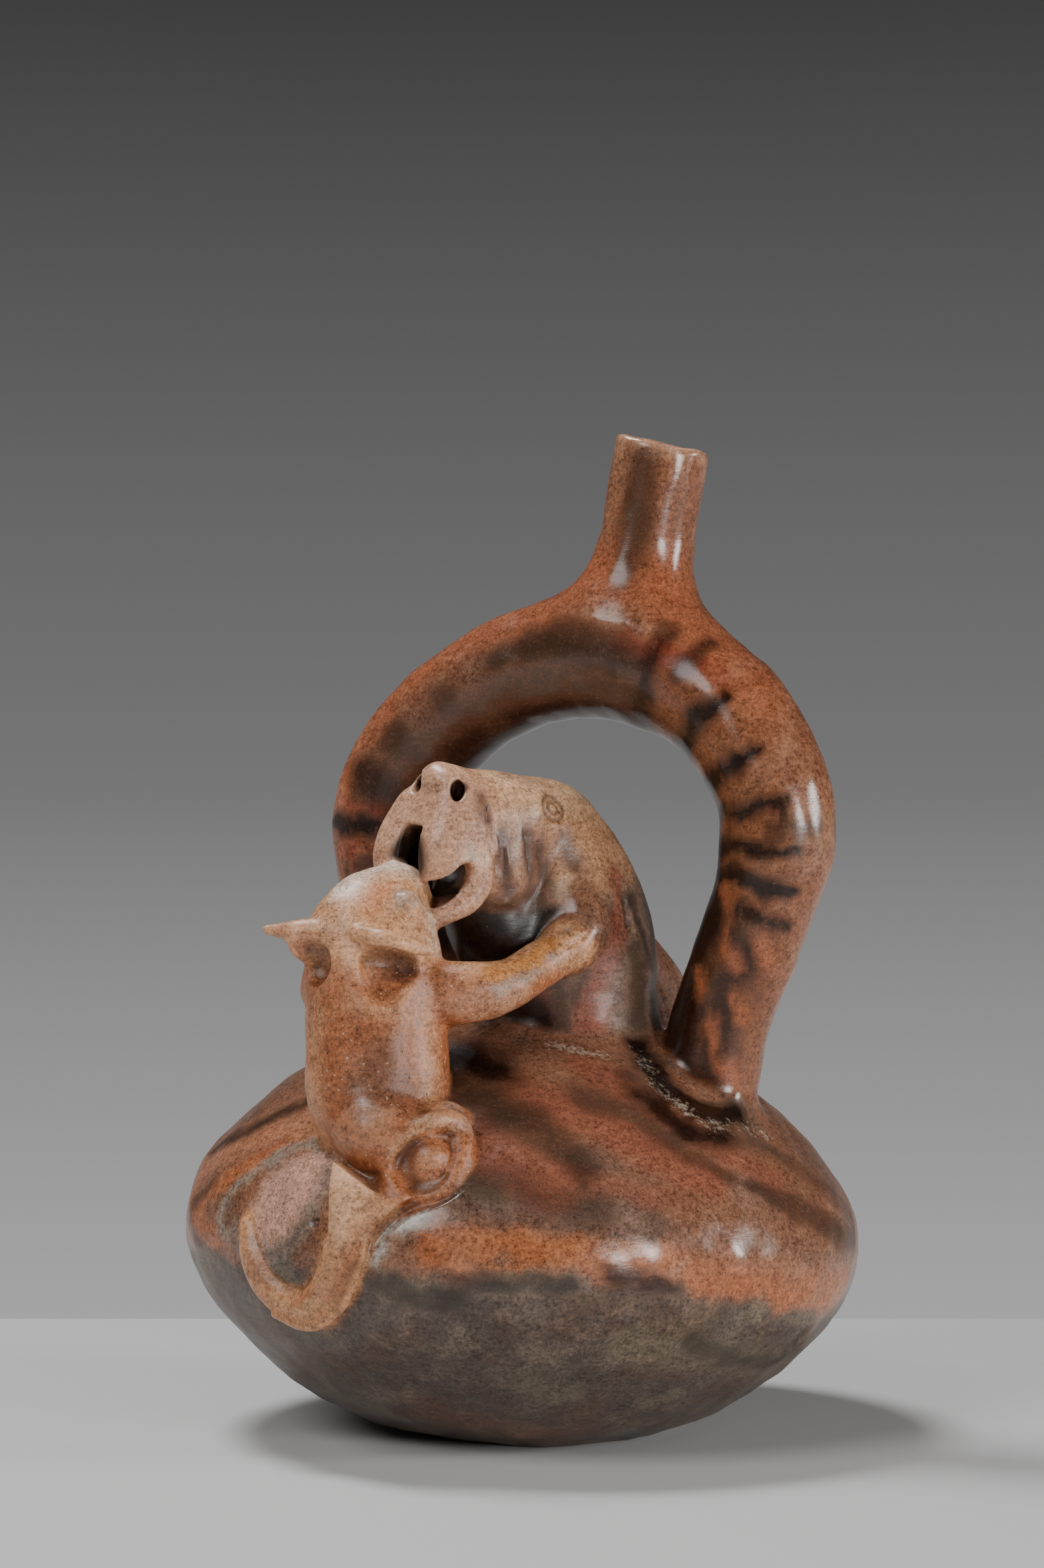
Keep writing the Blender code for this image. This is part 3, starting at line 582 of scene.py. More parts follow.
def animal():
    """Animal that stands on the shoulder, holding the beast's neck."""
    clay = Clay(ANIMAL + vec(-40, -40, -50), ANIMAL + vec(62, 60, 72))
    clay.add(rope(
        [ANIMAL + vec(0.4, -0.8, -6.8), ANIMAL + vec(-1.5, 1, 1.2), ANIMAL + vec(-2.3, 2.5, 12),
         ANIMAL + vec(-3.2, 4, 22.5), ANIMAL + vec(-4.2, 5.4, 30), CROWN, CROWN + vec(4.7, 5, 8)],
        [9.7, 14.6, 15.1, 15.1, 14.9, 13.0, 7.2]))
    clay.add(rope([CROWN + vec(-9.6, -8.2, -0.6), CROWN + vec(-15.5, -6.6, -0.4),
                   CROWN + vec(-22.4, -4.6, -0.4)],
                  [3.4, 2.5, 1.0]), 1.5)
    clay.add(ball(CROWN + vec(-12.0, -6.6, -3.6), (6.4, 3.4, 4.4), tipped(turned(190.0), 24.0)), 1.5)
    clay.cut(ball(CROWN + vec(-13.4, -11.6, -6.4), (6.6, 4.8, 4.8), tipped(turned(200.0), 26.0)), 0.6)
    clay.add(rope([CROWN + vec(-2.4, -14.0, 0.4), CROWN + vec(4.2, -18.2, -0.9),
                   CROWN + vec(13.6, -15.4, -2.9)],
                  [1.8, 2.4, 0.8]), 1.0)
    clay.add(ball(CROWN + vec(4.4, -11.4, -3.4), (7.6, 4.2, 3.6), tipped(turned(-4.0), -8.0)), 1.2)
    clay.cut(ball(CROWN + vec(4.8, -17.0, -6.2), (7.2, 6.2, 4.2), tipped(turned(-2.0), -8.0)), 0.4)
    clay.cut(ball(CROWN + vec(3.4, -18.6, -8.6), (5.4, 5.6, 5.4)), 2.0)
    for eye in (vec(6.9, -6.9, 6.6), vec(-6.4, -3.8, 6.8)):
        clay.add(ball(CROWN + eye, 3.2), 0.6)
    clay.add(rope([ANIMAL + vec(7.6, 2, 24.6), ANIMAL + vec(16, 1, 25.6), ANIMAL + vec(24.5, 4.5, 27.4),
                   BEAST + vec(-7.5, -26.5, 12.0), BEAST + vec(-1.0, -21.0, 16.5)],
                  [7.3, 6.8, 5.6, 5.1, 5.0]), 2.0)
    clay.add(rope([ANIMAL + vec(-12, 6.5, 27.0), ANIMAL + vec(-13.2, 12, 23.5), ANIMAL + vec(-9, 27, 22),
                   ANIMAL + vec(3, 38, 23.7), BEAST + vec(-20, 3, 3)], [6.2, 6.4, 5.65, 4.6, 4.0]), 2.0)
    clay.add(ball(ANIMAL + vec(9.6, -12.6, -8.6), (8.3, 5.8, 8.3), turned(30.0)), 1.5)
    clay.add(ball(ANIMAL + vec(12.6, -9, -5.5), (8.1, 5.3, 8.5), turned(30.0)), 2.5)
    clay.add(ball(ANIMAL + vec(0.5, -9.5, -4.6), (11.5, 11.0, 8.8), tipped(np.eye(3), -20.0)), 2.5)
    ring = [(6.6, -17.0, -3.4), (10.6, -16.6, -0.6), (14.6, -14.6, -0.6), (17.0, -14.0, -3.6),
            (17.4, -16.2, -7.4),
            (16.2, -18.2, -11.0), (13.8, -19.4, -14.4), (9.8, -20.0, -16.4), (5.6, -20.2, -17.4),
            (1.6, -20.6, -18.8)]
    clay.add(rope([ANIMAL + vec(*spot) for spot in ring],
                  [1.6, 2.0, 2.4, 2.6, 2.6, 2.4, 2.2, 2.2, 2.2, 1.6]), 2.0)
    ring = [(6.6, -17.0, -3.4), (3.4, -17.4, -5.4), (2.0, -17.6, -9.0), (2.8, -18.6, -13.0),
            (6.2, -20.0, -16.8)]
    clay.add(rope([ANIMAL + vec(*spot) for spot in ring], [1.6, 1.6, 1.6, 1.8, 2.2]), 2.0)
    groove = [(11.2, -19.0, -3.8), (7.4, -19.2, -5.2), (5.4, -19.4, -8.4), (5.6, -20.0, -11.6),
              (8.2, -20.9, -14.0),
              (11.4, -20.9, -13.8), (13.8, -20.0, -11.6)]
    clay.cut(rope([ANIMAL + vec(*spot) for spot in groove], [0.6, 1.5, 2.1, 2.2, 2.0, 1.4, 0.6]), 1.4)
    clay.add(ball(ANIMAL + vec(11.0, -16.2, -8.8), (4.2, 4.4, 4.4)), 1.0)
    clay.add(rope([ANIMAL + vec(8, -13, -11), ANIMAL + vec(2, -18, -18.5)], [5.0, 3.5]), 2.0)
    return clay


def hand():
    """Hand of the near arm, spread on the beast's neck."""
    return rope([BEAST + vec(-1.0, -21.0, 16.5), BEAST + vec(1.6, -19.0, 20.5),
                 BEAST + vec(1.2, -17.4, 25.0),
                 BEAST + vec(-0.6, -16.4, 28.4)], [5.0, 4.6, 3.8, 2.6])


def tail():
    course = (
        (4.4, 20.0, 1.7),
        (4.2, 14.0, 1.55),
        (3.9, 8.0, 1.25),
        (3.6, 1.5, 1.0),
        (2.0, -5.5, 1.0),
        (-2.6, -11.6, 1.0),
        (-8.6, -11.8, 0.94),
        (-13.4, -8.4, 0.85),
        (-16.2, -3.0, 0.72),
        (-18.4, 3.0, 0.5),
    )
    places = []
    radii = []
    for turn, rise, share in course:
        height = EQUATOR_HEIGHT + rise
        places.append(polar(ANIMAL_AZIMUTH_DEG + turn, body_radius_at(height) - 1.2, height))
        radii.append(4.8 * share)
    clay = Clay(ANIMAL + vec(-45, -40, -60), ANIMAL + vec(30, 30, 20))
    clay.add(rope(places, radii))
    ridge = [(0.6, -20.2, -21.0), (-1.4, -20.6, -25.8), (-3.2, -20.6, -31.4), (-4.8, -19.2, -37.0),
             (-7.4, -16.8, -41.4), (-11.0, -14.0, -44.4), (-15.4, -11.0, -45.0), (-20.6, -7.6, -43.8)]
    clay.add(rope([ANIMAL + vec(*spot) for spot in ridge], [1.2, 1.4, 1.4, 1.4, 1.4, 1.4, 1.3, 0.9]), 0.5)
    clay.add(block(ANIMAL + vec(-3.2, -15.4, -14.0), (6.6, 5.4, 8.4), tipped(turned(-6.0), 20.0), 1.2,
                   0.15), 2.5)
    clay.cut(block(ANIMAL + vec(-1.7, -20.0, -7.8), (14.0, 14.0, 6.0), tipped(np.eye(3), -32.6), 1.0), 0.6)
    clay.cut(block(ANIMAL + vec(-17.9, -18.0, -14.0), (8.0, 14.0, 12.0), turned(-12.0), 1.0), 0.5)
    return clay


def furrows():
    """Tooled lines round the tail and foot, beside the neck, and the slit of the beast's ear."""
    course = ((-100.4, 60.2), (-104.5, 57.0), (-108.7, 55.3), (-112.1, 51.5), (-114.3, 47.2),
              (-114.8, 42.7))
    spots = [polar(turn, body_radius_at(height) + 0.5, height) for turn, height in course]
    cuts = rope(spots, [0.6, 1.3, 1.5, 1.5, 1.3, 0.6])
    slit = [BEAST + vec(9.3, -14.8, 30.4), BEAST + vec(10.9, -13.6, 27.0), BEAST + vec(11.4, -14.0, 21.2)]
    return cuts + rope(slit, [0.7, 1.3, 0.7])


def hollow():
    """Everything empty inside: chamber, stirrup bore, spout bore and hollow figures."""
    clay = Clay(vec(*LATTICE_LOW), vec(*LATTICE_HIGH))
    clay.add(turned_solid(outline(WALL), vec(0, 0, 0), np.eye(3)))
    course = stirrup_course()
    clay.add(rope(course, [row[2] - STIRRUP_WALL for row in STIRRUP_COURSE], 3), 2.0)
    clay.add(rope([BEAST + vec(0, 0, -14), BEAST + vec(-1.4, -0.8, 6), BEAST + vec(-3.2, -1.4, 20)],
                  [12.5, 12.5, 10.0]), 3.0)
    clay.add(rope([ANIMAL + vec(1.5, 3, -14), ANIMAL + vec(-1.2, 2, 12), ANIMAL + vec(-2.6, 3.6, 25)],
                  [10.0, 10.0, 8.0]), 3.0)
    return clay


def spout_bore():
    place, axes = spout_frame()
    return [bar(place, place + axes[2] * (SPOUT_RISE + 8.0), SPOUT_BORE_RADIUS, SPOUT_BORE_RADIUS)]


def details(clay):
    """Fine tooled lines: the eye's double ring, wrinkles of the cheek, fingers and a small ring."""
    cuts = []
    for side in (1.0, -1.0):
        for size, depth in ((3.1, 0.62), (1.5, 0.55)):
            turns = np.linspace(0.0, 2.0 * math.pi, 17)
            ring = [head(7.6 + size * math.cos(a), 11.6 * side, 8.1 + size * math.sin(a)) for a in turns]
            cuts += rope(settled(clay, ring), [depth] * len(ring), 1)
    lines = (
        ([head(25.2, 9.2, 9.1), head(25.5, 11.8, 2.7), head(24.8, 13.0, -3.7)], 0.6),
        ([head(23.3, 11.9, 3.5), head(22.0, 12.4, -2.0), head(21.0, 11.8, -7.9)], 0.7),
        ([head(16.7, 12.6, 4.5), head(15.4, 12.4, -1.0), head(13.8, 11.8, -7.7)], 0.6),
        ([head(13.1, 12.5, 1.7), head(11.4, 12.0, -2.0), head(10.1, 11.0, -4.8)], 0.55),
        ([BEAST + vec(-4.1, -21.7, 21.4), BEAST + vec(-2.0, -25.6, 19.4), BEAST + vec(0.3, -24.5, 20.7)],
         0.6),
        ([BEAST + vec(-2.7, -27.8, 16.6), BEAST + vec(-0.4, -26.7, 17.0), BEAST + vec(2.4, -24.4, 19.6)],
         0.6),
    )
    for points, depth in lines:
        spots = settled(clay, points)
        cuts += rope(spots, [depth * 0.4] + [depth] * (len(spots) - 2) + [depth * 0.4], 4)
    turns = np.linspace(0.0, 2.0 * math.pi, 9)
    ring = [ANIMAL + vec(-12.8 + 0.9 * math.cos(a), -13.5, -23.3 + 0.9 * math.sin(a)) for a in turns]
    cuts += rope(settled(clay, ring), [0.45] * len(ring), 1)
    return cuts


def uneven(clay):
    """Slow swells left by the hand that shaped and burnished the clay."""
    random = np.random.default_rng(SWELL_SEED)
    low = np.array(LATTICE_LOW)
    counts = clay.values.shape
    lines = [low[i] + CELL * np.arange(counts[i], dtype=np.float32) for i in range(3)]
    for length, height in SWELLS:
        waves = []
        for line in lines:
            phase = random.uniform(0.0, 6.28)
            rate = 6.28 / length * random.uniform(0.8, 1.2)
            waves.append(np.sin(line * rate + phase).astype(np.float32))
        wave = waves[0][:, None, None] * waves[1][None, :, None]
        clay.values += wave * (waves[2] * np.float32(height * 1.6))[None, None, :]


def sculpt():
    """The finished clay, and the parts that the paint follows."""
    clay, handle = shell()
    monster = beast()
    clay.merge(monster, 5.0)
    clay.add(spine(), 4.0)
    clay.add(hand(), 3.5)
    figure = animal()
    clay.merge(figure, 1.5)
    band = tail()
    clay.merge(band, 0.8)
    clay.cut(furrows(), 0.6)
    uneven(clay)
    clay.cut(details(clay), 0.3)
    empty = hollow()
    empty.values = np.maximum(empty.values, clay.values + THIN_WALL)
    clay.remove(empty, 0.0)
    bore = Clay(vec(-30, -50, 165), vec(60, 40, 228))
    bore.add(spout_bore())
    clay.remove(bore, 0.8)
    lean = math.radians(LEAN_DEG)
    clay.remove(ground(lean), 0.0)
    empty.merge(bore, 0.0)
    return clay, {"handle": handle, "beast": monster, "animal": figure, "tail": band, "hollow": empty}


def ground(lean):
    part = Clay(vec(*LATTICE_LOW), vec(LATTICE_HIGH[0], LATTICE_HIGH[1], 12.0))
    part.add(slab(vec(0, 0, 0), (-math.sin(lean), 0.0, math.cos(lean))))
    return part


def skin(clay):
    """Mesh of the clay's surface, leaned into the frame of the scene."""
    grid = openvdb.FloatGrid(KEPT_DEPTH)
    grid.copyFromArray(np.clip(clay.values, -KEPT_DEPTH, KEPT_DEPTH), ijk=tuple(int(v) for v in clay.start))
    points, tris, quads = grid.convertToPolygons(0.0, 0.0)
    points = points * CELL + np.array(LATTICE_LOW)
    lean = math.radians(LEAN_DEG)
    x = points[:, 0] * math.cos(lean) + points[:, 2] * math.sin(lean)
    z = points[:, 2] * math.cos(lean) - points[:, 0] * math.sin(lean)
    points = np.column_stack([x, points[:, 1], z]) * MM
    faces = np.vstack([quads[:, [0, 1, 2]], quads[:, [0, 2, 3]]])
    a, b, c = (points[faces[:, i]] for i in range(3))
    if np.einsum("ij,ij->i", a, np.cross(b, c)).sum() < 0:
        quads = quads[:, ::-1]
    mesh = bpy.data.meshes.new("vase_body")
    mesh.vertices.add(len(points))
    mesh.vertices.foreach_set("co", points.ravel().astype(np.float32))
    mesh.loops.add(quads.size)
    mesh.loops.foreach_set("vertex_index", quads.ravel().astype(np.int32))
    mesh.polygons.add(len(quads))
    mesh.polygons.foreach_set("loop_start", np.arange(0, quads.size, 4, dtype=np.int32))
    mesh.update()
    mesh.validate()
    return mesh


def thinned(mesh, target):
    obj = bpy.data.objects.new("vase_body", mesh)
    bpy.context.scene.collection.objects.link(obj)
    count = sum(len(p.vertices) - 2 for p in mesh.polygons)
    modifier = obj.modifiers.new("thin", "DECIMATE")
    modifier.ratio = target / count
    modifier.use_collapse_triangulate = True
    graph = bpy.context.evaluated_depsgraph_get()
    done = bpy.data.meshes.new_from_object(obj.evaluated_get(graph))
    obj.modifiers.clear()
    obj.data = done
    done.polygons.foreach_set("use_smooth", np.ones(len(done.polygons), bool))
    return obj


# paint, painted shade and wear, laid on as strokes in the bottle's own frame


def linear(colour):
    """Linear light of a colour given as red, green and blue out of 255."""
    share = np.array(colour, float) / 255.0
    return np.where(share <= 0.04045, share / 12.92, ((share + 0.055) / 1.055) ** 2.4)


def sample(clay, places):
    """Distance stored in the clay, read between its lattice points."""
    spots = (places - np.array(LATTICE_LOW)) / CELL - clay.start
    spots = np.clip(spots, 0.0, np.array(clay.values.shape) - 1.001)
    first = spots.astype(int)
    part = spots - first
    total = np.zeros(len(places))
    for corner in np.ndindex(2, 2, 2):
        share = np.prod(np.where(np.array(corner), part, 1.0 - part), axis=1)
        i, j, k = (first + corner).T
        total += share * clay.values[i, j, k]
    return total


def settled(clay, points):
    """The same places moved onto the clay's surface."""
    spots = np.array(points, float)
    for _ in range(4):
        rise = sample(clay, spots)
        slope = np.column_stack([
            sample(clay, spots + step) - sample(clay, spots - step) for step in np.eye(3) * CELL
        ]) / (2.0 * CELL)
        slope /= np.maximum((slope ** 2).sum(1, keepdims=True), 0.05)
        spots = spots - np.clip(rise, -4.0, 4.0)[:, None] * slope
    return spots


def on_body(points, lift=0.0):
    """Places on the body from rows of azimuth and height."""
    return np.array([polar(turn, body_radius_at(height) + lift, height) for turn, height in points])


def on_tube(points, lift=0.0):
    """Places on the stirrup from rows of course number and turn round the tube, 0 to the front."""
    radii = [row[2] for row in STIRRUP_COURSE]
    course = smooth_course([[*place, radius] for place, radius in zip(stirrup_course(), radii)], 6)
    depth = turned(STIRRUP_TURN_DEG)[1]
    out = []
    for number, turn in points:
        i = min(number * 6.0, len(course) - 1.001)
        low = int(i)
        spot = course[low] + (course[low + 1] - course[low]) * (i - low)
        way = course[low + 1][:3] - course[low][:3]
        side = np.cross(depth, way)
        side /= np.linalg.norm(side)
        a = math.radians(turn)
        out.append(spot[:3] + (side * math.sin(a) - depth * math.cos(a)) * (spot[3] + lift))
    return np.array(out)


def ease(low, high, value):
    share = np.clip((value - low) / (high - low), 0.0, 1.0)
    return share * share * (3.0 - 2.0 * share)


class Paint:
    """Colour, soot and painted shade, lime and wear at every point of the skin."""

    def __init__(self, places, clay):
        self.clay = clay
        self.true = places
        wobble = np.array([noise.noise_vector(p * 0.16) for p in places]) * 1.7
        wobble += np.array([noise.noise_vector(p * 0.5 + vec(40, 9, 3)) for p in places]) * 0.9
        self.places = places + wobble
        self.cloud = np.array([noise.fractal(p * 0.07, 0.8, 2.0, 4) for p in places])
        self.tone = np.tile(linear(SLIP), (len(places), 1))
        self.soot_and_shade = np.zeros(len(places))
        self.lime = np.zeros(len(places))
        self.matte = np.zeros(len(places))
        self.pits = np.full(len(places), 0.12)

    def cover(self, points, width, soft=0.5):
        """Share that a stroke covers: 1 in its middle, 0 past its faded edge."""
        points = settled(self.clay, points)
        if len(points) == 1:
            points = np.vstack([points, points + (0.0, 0.0, 0.05)])
        if len(points) > 2:
            points = smooth_course(points, 3)
        widths = np.interp(np.linspace(0, 1, len(points)), np.linspace(0, 1, np.size(width)),
                           np.atleast_1d(width))
        reach = widths.max() * (1.0 + soft)
        near = (self.places > points.min(0) - reach).all(1) & (self.places < points.max(0) + reach).all(1)
        spots = self.places[near]
        best = np.zeros(len(spots))
        for a, b, start, end in zip(points, points[1:], widths, widths[1:]):
            way = b - a
            t = np.clip((spots - a) @ way / max(float(way @ way), 1e-9), 0.0, 1.0)
            gap = np.linalg.norm(spots - a - t[:, None] * way, axis=1)
            here = start + (end - start) * t
            best = np.maximum(best, ease(here * (1.0 + soft), here * (1.0 - soft), gap))
        out = np.zeros(len(self.places))
        out[near] = best
        return out

    def fill(self, colour, share):
        share = np.clip(share, 0.0, 1.0)[:, None]
        self.tone = self.tone * (1.0 - share) + linear(colour) * share

    def tint(self, colour, points, width, strength=1.0, soft=0.6, where=1.0):
        self.fill(colour, self.cover(points, width, soft) * strength * where)

    # dark strokes: soot-black paint, and in some places painted shade
    def darken(self, points, width, strength=1.0, soft=0.6, where=1.0):
        self.soot_and_shade = np.maximum(self.soot_and_shade, self.cover(points, width, soft) * strength * where)

    def clear(self, share):
        """Take off the soot and painted shade laid so far where a new coat covers it."""
        self.soot_and_shade = self.soot_and_shade * (1.0 - share)
        self.lime = self.lime * (1.0 - share)

    def dust(self, points, width, strength=1.0, soft=0.7, where=1.0):
        self.lime = np.maximum(self.lime, self.cover(points, width, soft) * strength * where)


SLIP = (142, 97, 73)
BAND_RED = (176, 106, 68)
STREAK_RED = (148, 88, 66)
ASH = (106, 84, 72)
LOWER = (94, 80, 71)
LOWER_BROWN = (100, 78, 62)
LOWER_PALE = (124, 109, 90)
ARCH = (140, 88, 62)
ARCH_RED = (170, 98, 66)
TUBE_ORANGE = (146, 90, 58)
TUBE_RED = (152, 70, 44)
FACE = (200, 146, 108)
FACE_PALE = (226, 182, 140)
MUZZLE = (202, 152, 122)
CHEEK_GREY = (136, 98, 82)
NECK = (138, 108, 90)
NECK_RED = (150, 88, 66)
NECK_GREY = (104, 86, 74)
TAN = (212, 154, 112)
TAN_PALE = (232, 206, 184)
TORSO = (176, 106, 66)
TORSO_LIGHT = (204, 144, 102)
TORSO_DARK = (126, 84, 62)
ARM_OCHRE = (200, 132, 72)
TAIL_TAN = (198, 138, 96)
ROOT_TAN = (222, 172, 134)
CURL_PINK = (212, 162, 140)
CURL_GREY = (146, 130, 116)
INSIDE = (104, 76, 60)

LOWER_EDGE = ((-180, 37), (-165, 36), (-150, 38.5), (-130, 40), (-105, 40.6), (-92, 42.8), (-82, 43.5),
              (-63, 40.6),
              (-53, 37.7), (-41, 33.8), (-24, 31), (0, 33), (30, 39), (70, 36), (110, 41), (150, 38),
              (180, 37))


def paint_body(paint):
    x, y, z = paint.places.T
    turn = np.degrees(np.arctan2(y, x))
    edge = np.interp(turn, *np.array(LOWER_EDGE, float).T) + paint.cloud * 3.0
    low = ease(1.8, -1.8, z - edge)
    paint.fill(ASH, ease(0.05, 0.55, paint.cloud) * 0.6)
    paint.tint(ASH, on_body([(-104, 60), (-92, 60), (-80, 58), (-70, 56)]), 8.0, 0.85, 0.7)
    paint.tint(STREAK_RED, on_body([(-104, 71), (-94, 66), (-86, 61)]), 6.0, 0.8)
    paint.tint(STREAK_RED, on_body([(-92, 79), (-78, 74), (-66, 68), (-56, 62)]), 5.0, 0.9)
    paint.tint(STREAK_RED, on_body([(-74, 84), (-62, 78), (-50, 70), (-38, 62)]), 4.5, 0.8)
    paint.tint(STREAK_RED, on_body([(-84, 63), (-70, 60), (-60, 57)]), 3.0, 0.6)
    paint.tint(BAND_RED,
               on_body([(-104, 47.5), (-88, 47.5), (-70, 45.5), (-52, 43), (-38, 39.5), (-20, 37)]),
               (4.0, 4.6, 4.4, 5.0, 5.5, 5.5), 1.0, 0.4)
    paint.tint(SLIP, on_body([(-60, 53), (-45, 51), (-30, 48)]), 7.0, 0.8, 0.6)
    paint.tint((176, 118, 88), on_body([(-172, 54), (-157, 61.7), (-142, 68)]), 4.0, 1.0)
    paint.tint(BAND_RED, on_body([(-147.8, 42.5), (-154, 43.5), (-161, 46.7), (-155.5, 53), (-147, 59.5),
                                  (-138, 64.5)]),
               2.6, 1.0, 0.5)
    paint.tint(BAND_RED, on_body([(170, 44), (-175, 44), (-165, 42)]), 5.0, 0.9)
    for shift in (0, 52, 104, 150):
        paint.tint(BAND_RED, on_body([(10 + shift, 45), (25 + shift, 44), (40 + shift, 46)]), 6.0, 0.8)
        paint.tint(STREAK_RED, on_body([(5 + shift, 74), (20 + shift, 66), (32 + shift, 58)]), 5.0, 0.8)
    paint.fill(LOWER, low)
    paint.fill(LOWER_PALE, low * ease(0.0, 0.5, paint.cloud) * 0.7)
    paint.fill(LOWER_BROWN, low * ease(0.05, -0.4, paint.cloud) * 0.8)
    paint.tint(LOWER_PALE, on_body([(-70, 28), (-50, 25), (-35, 22)]), 5.0, 0.7)
    paint.tint((124, 80, 58), on_body([(-112, 9), (-95, 6), (-75, 5)]), 6.0, 0.6, 0.8)
    paint.matte = np.maximum(paint.matte, low * 0.45)
    rise = [(-111, 80.7), (-98.5, 75.8), (-88.3, 71.7), (-79.4, 63.7)]
    paint.darken(on_body(rise), (6.5, 5.2, 4.6, 3.2), 0.72, 0.8)
    paint.darken(on_body([(-118, 85), (-108, 84), (-100, 82)]), 5.5, 0.95, 0.7)
    paint.darken(on_body([(-106, 66), (-98, 62), (-88, 59), (-78, 57)]), (3.0, 4.0, 4.5, 3.5), 0.42, 0.9)
    paint.darken(on_body([(-76.4, 78.4), (-66.3, 74.5), (-57.8, 67.5), (-50, 63)]), (4.0, 3.8, 3.0, 2.0),
                0.62, 0.8)
    paint.darken(on_body([(-48, 75), (-38, 70)]), 2.0, 0.5)
    paint.darken(on_body([(-35, 68), (-20, 58), (-8, 50)]), (2.0, 3.0, 3.0), 0.4, 0.9)
    paint.darken(on_body([(-170.8, 59.1), (-158.4, 65.4), (-148.3, 71.8), (-140, 76)]), (2.4, 2.6, 2.4, 1.6),
                0.8)
    paint.darken(on_body([(-75.9, 43.6), (-71.2, 42.8), (-64.4, 41.0)]), (2.2, 2.6, 1.8), 0.86)
    paint.darken(on_body([(-100, 41), (-90, 41.6), (-82, 41.4)]), 1.8, 0.62)
    paint.darken(on_body([(-45.6, 60.9), (-36.9, 56.7), (-23.6, 50.2), (-12, 47)]), (2.0, 3.2, 3.4, 2.6),
                0.66)
    paint.darken(on_body([(-60, 30), (-45, 24), (-30, 22)]), 2.6, 0.55)
    paint.darken(on_body([(-118, 41.5), (-109, 37), (-100, 36)]), 2.6, 0.6)
    paint.darken(on_body([(-158, 40), (-166, 44), (-162, 50), (-156, 55)]), (1.6, 2.2, 1.8, 1.2), 0.66)
    for shift, strength in ((0, 0.75), (34, 0.65), (72, 0.8), (112, 0.7), (146, 0.7)):
        paint.darken(on_body([(8 + shift, 78), (20 + shift, 71), (30 + shift, 62), (37 + shift, 54)]),
                    (4.0, 3.6, 3.0, 1.6), strength)
    for shift in (15, 80, 130):
        paint.darken(on_body([(shift, 42), (14 + shift, 43), (24 + shift, 40)]), 2.4, 0.7)
    foot = on_tube([(0.1, 0)])[0]
    ring = [foot + vec(dx, dy, 0) for dx, dy in ((-13, -5), (-9, -11), (0, -15), (9, -11))]
    paint.darken(ring, 6.5, 1.0, 0.45)
    paint.darken(on_body([(-47, 88), (-51, 83), (-50, 78), (-44, 75), (-36, 74)]), 4.0, 1.0, 0.5)
    paint.dust(on_body([(-50, 86.5), (-54, 80), (-49, 74.6), (-40, 71.8), (-29, 71.2)]), 2.8, 0.62, 1.0)
    paint.dust(on_body([(-84, 88), (-76, 87), (-66, 86)]), 2.6, 0.7)
    paint.tint((176, 166, 156), on_body([(-113.7, 45.6), (-113.2, 50), (-110.6, 52.6), (-107, 54)]), 2.4,
               0.95, 0.5)
    paint.tint((150, 130, 118), on_body([(-106.5, 72), (-105.5, 66), (-106.5, 61)]), 3.4, 0.8)


def paint_curl(paint):
    """Pink field inside the curl of the tail, ringed with grey."""
    middle = on_body([(-136, 56.5)])
    paint.tint(CURL_PINK, on_body([(-130, 60), (-134, 55), (-136, 49), (-138, 45)]), (6.0, 7.8, 7.4, 5.4),
               1.0, 0.4)
    paint.tint(CURL_GREY, middle, 5.0, 0.3)
    border = [(-127, 64), (-135, 65.5), (-143, 60), (-149, 53), (-150.5, 47), (-146, 43)]
    paint.tint(CURL_GREY, on_body(border), 1.7, 0.9)
    inner = [(-127.5, 60), (-127, 54), (-128, 48), (-131.5, 43.5), (-136, 41.6), (-141, 42), (-144.5, 44.5)]
    paint.darken(on_body(inner), 0.8, 0.4)
    paint.tint(CURL_GREY, on_body(inner), 2.2, 0.7)


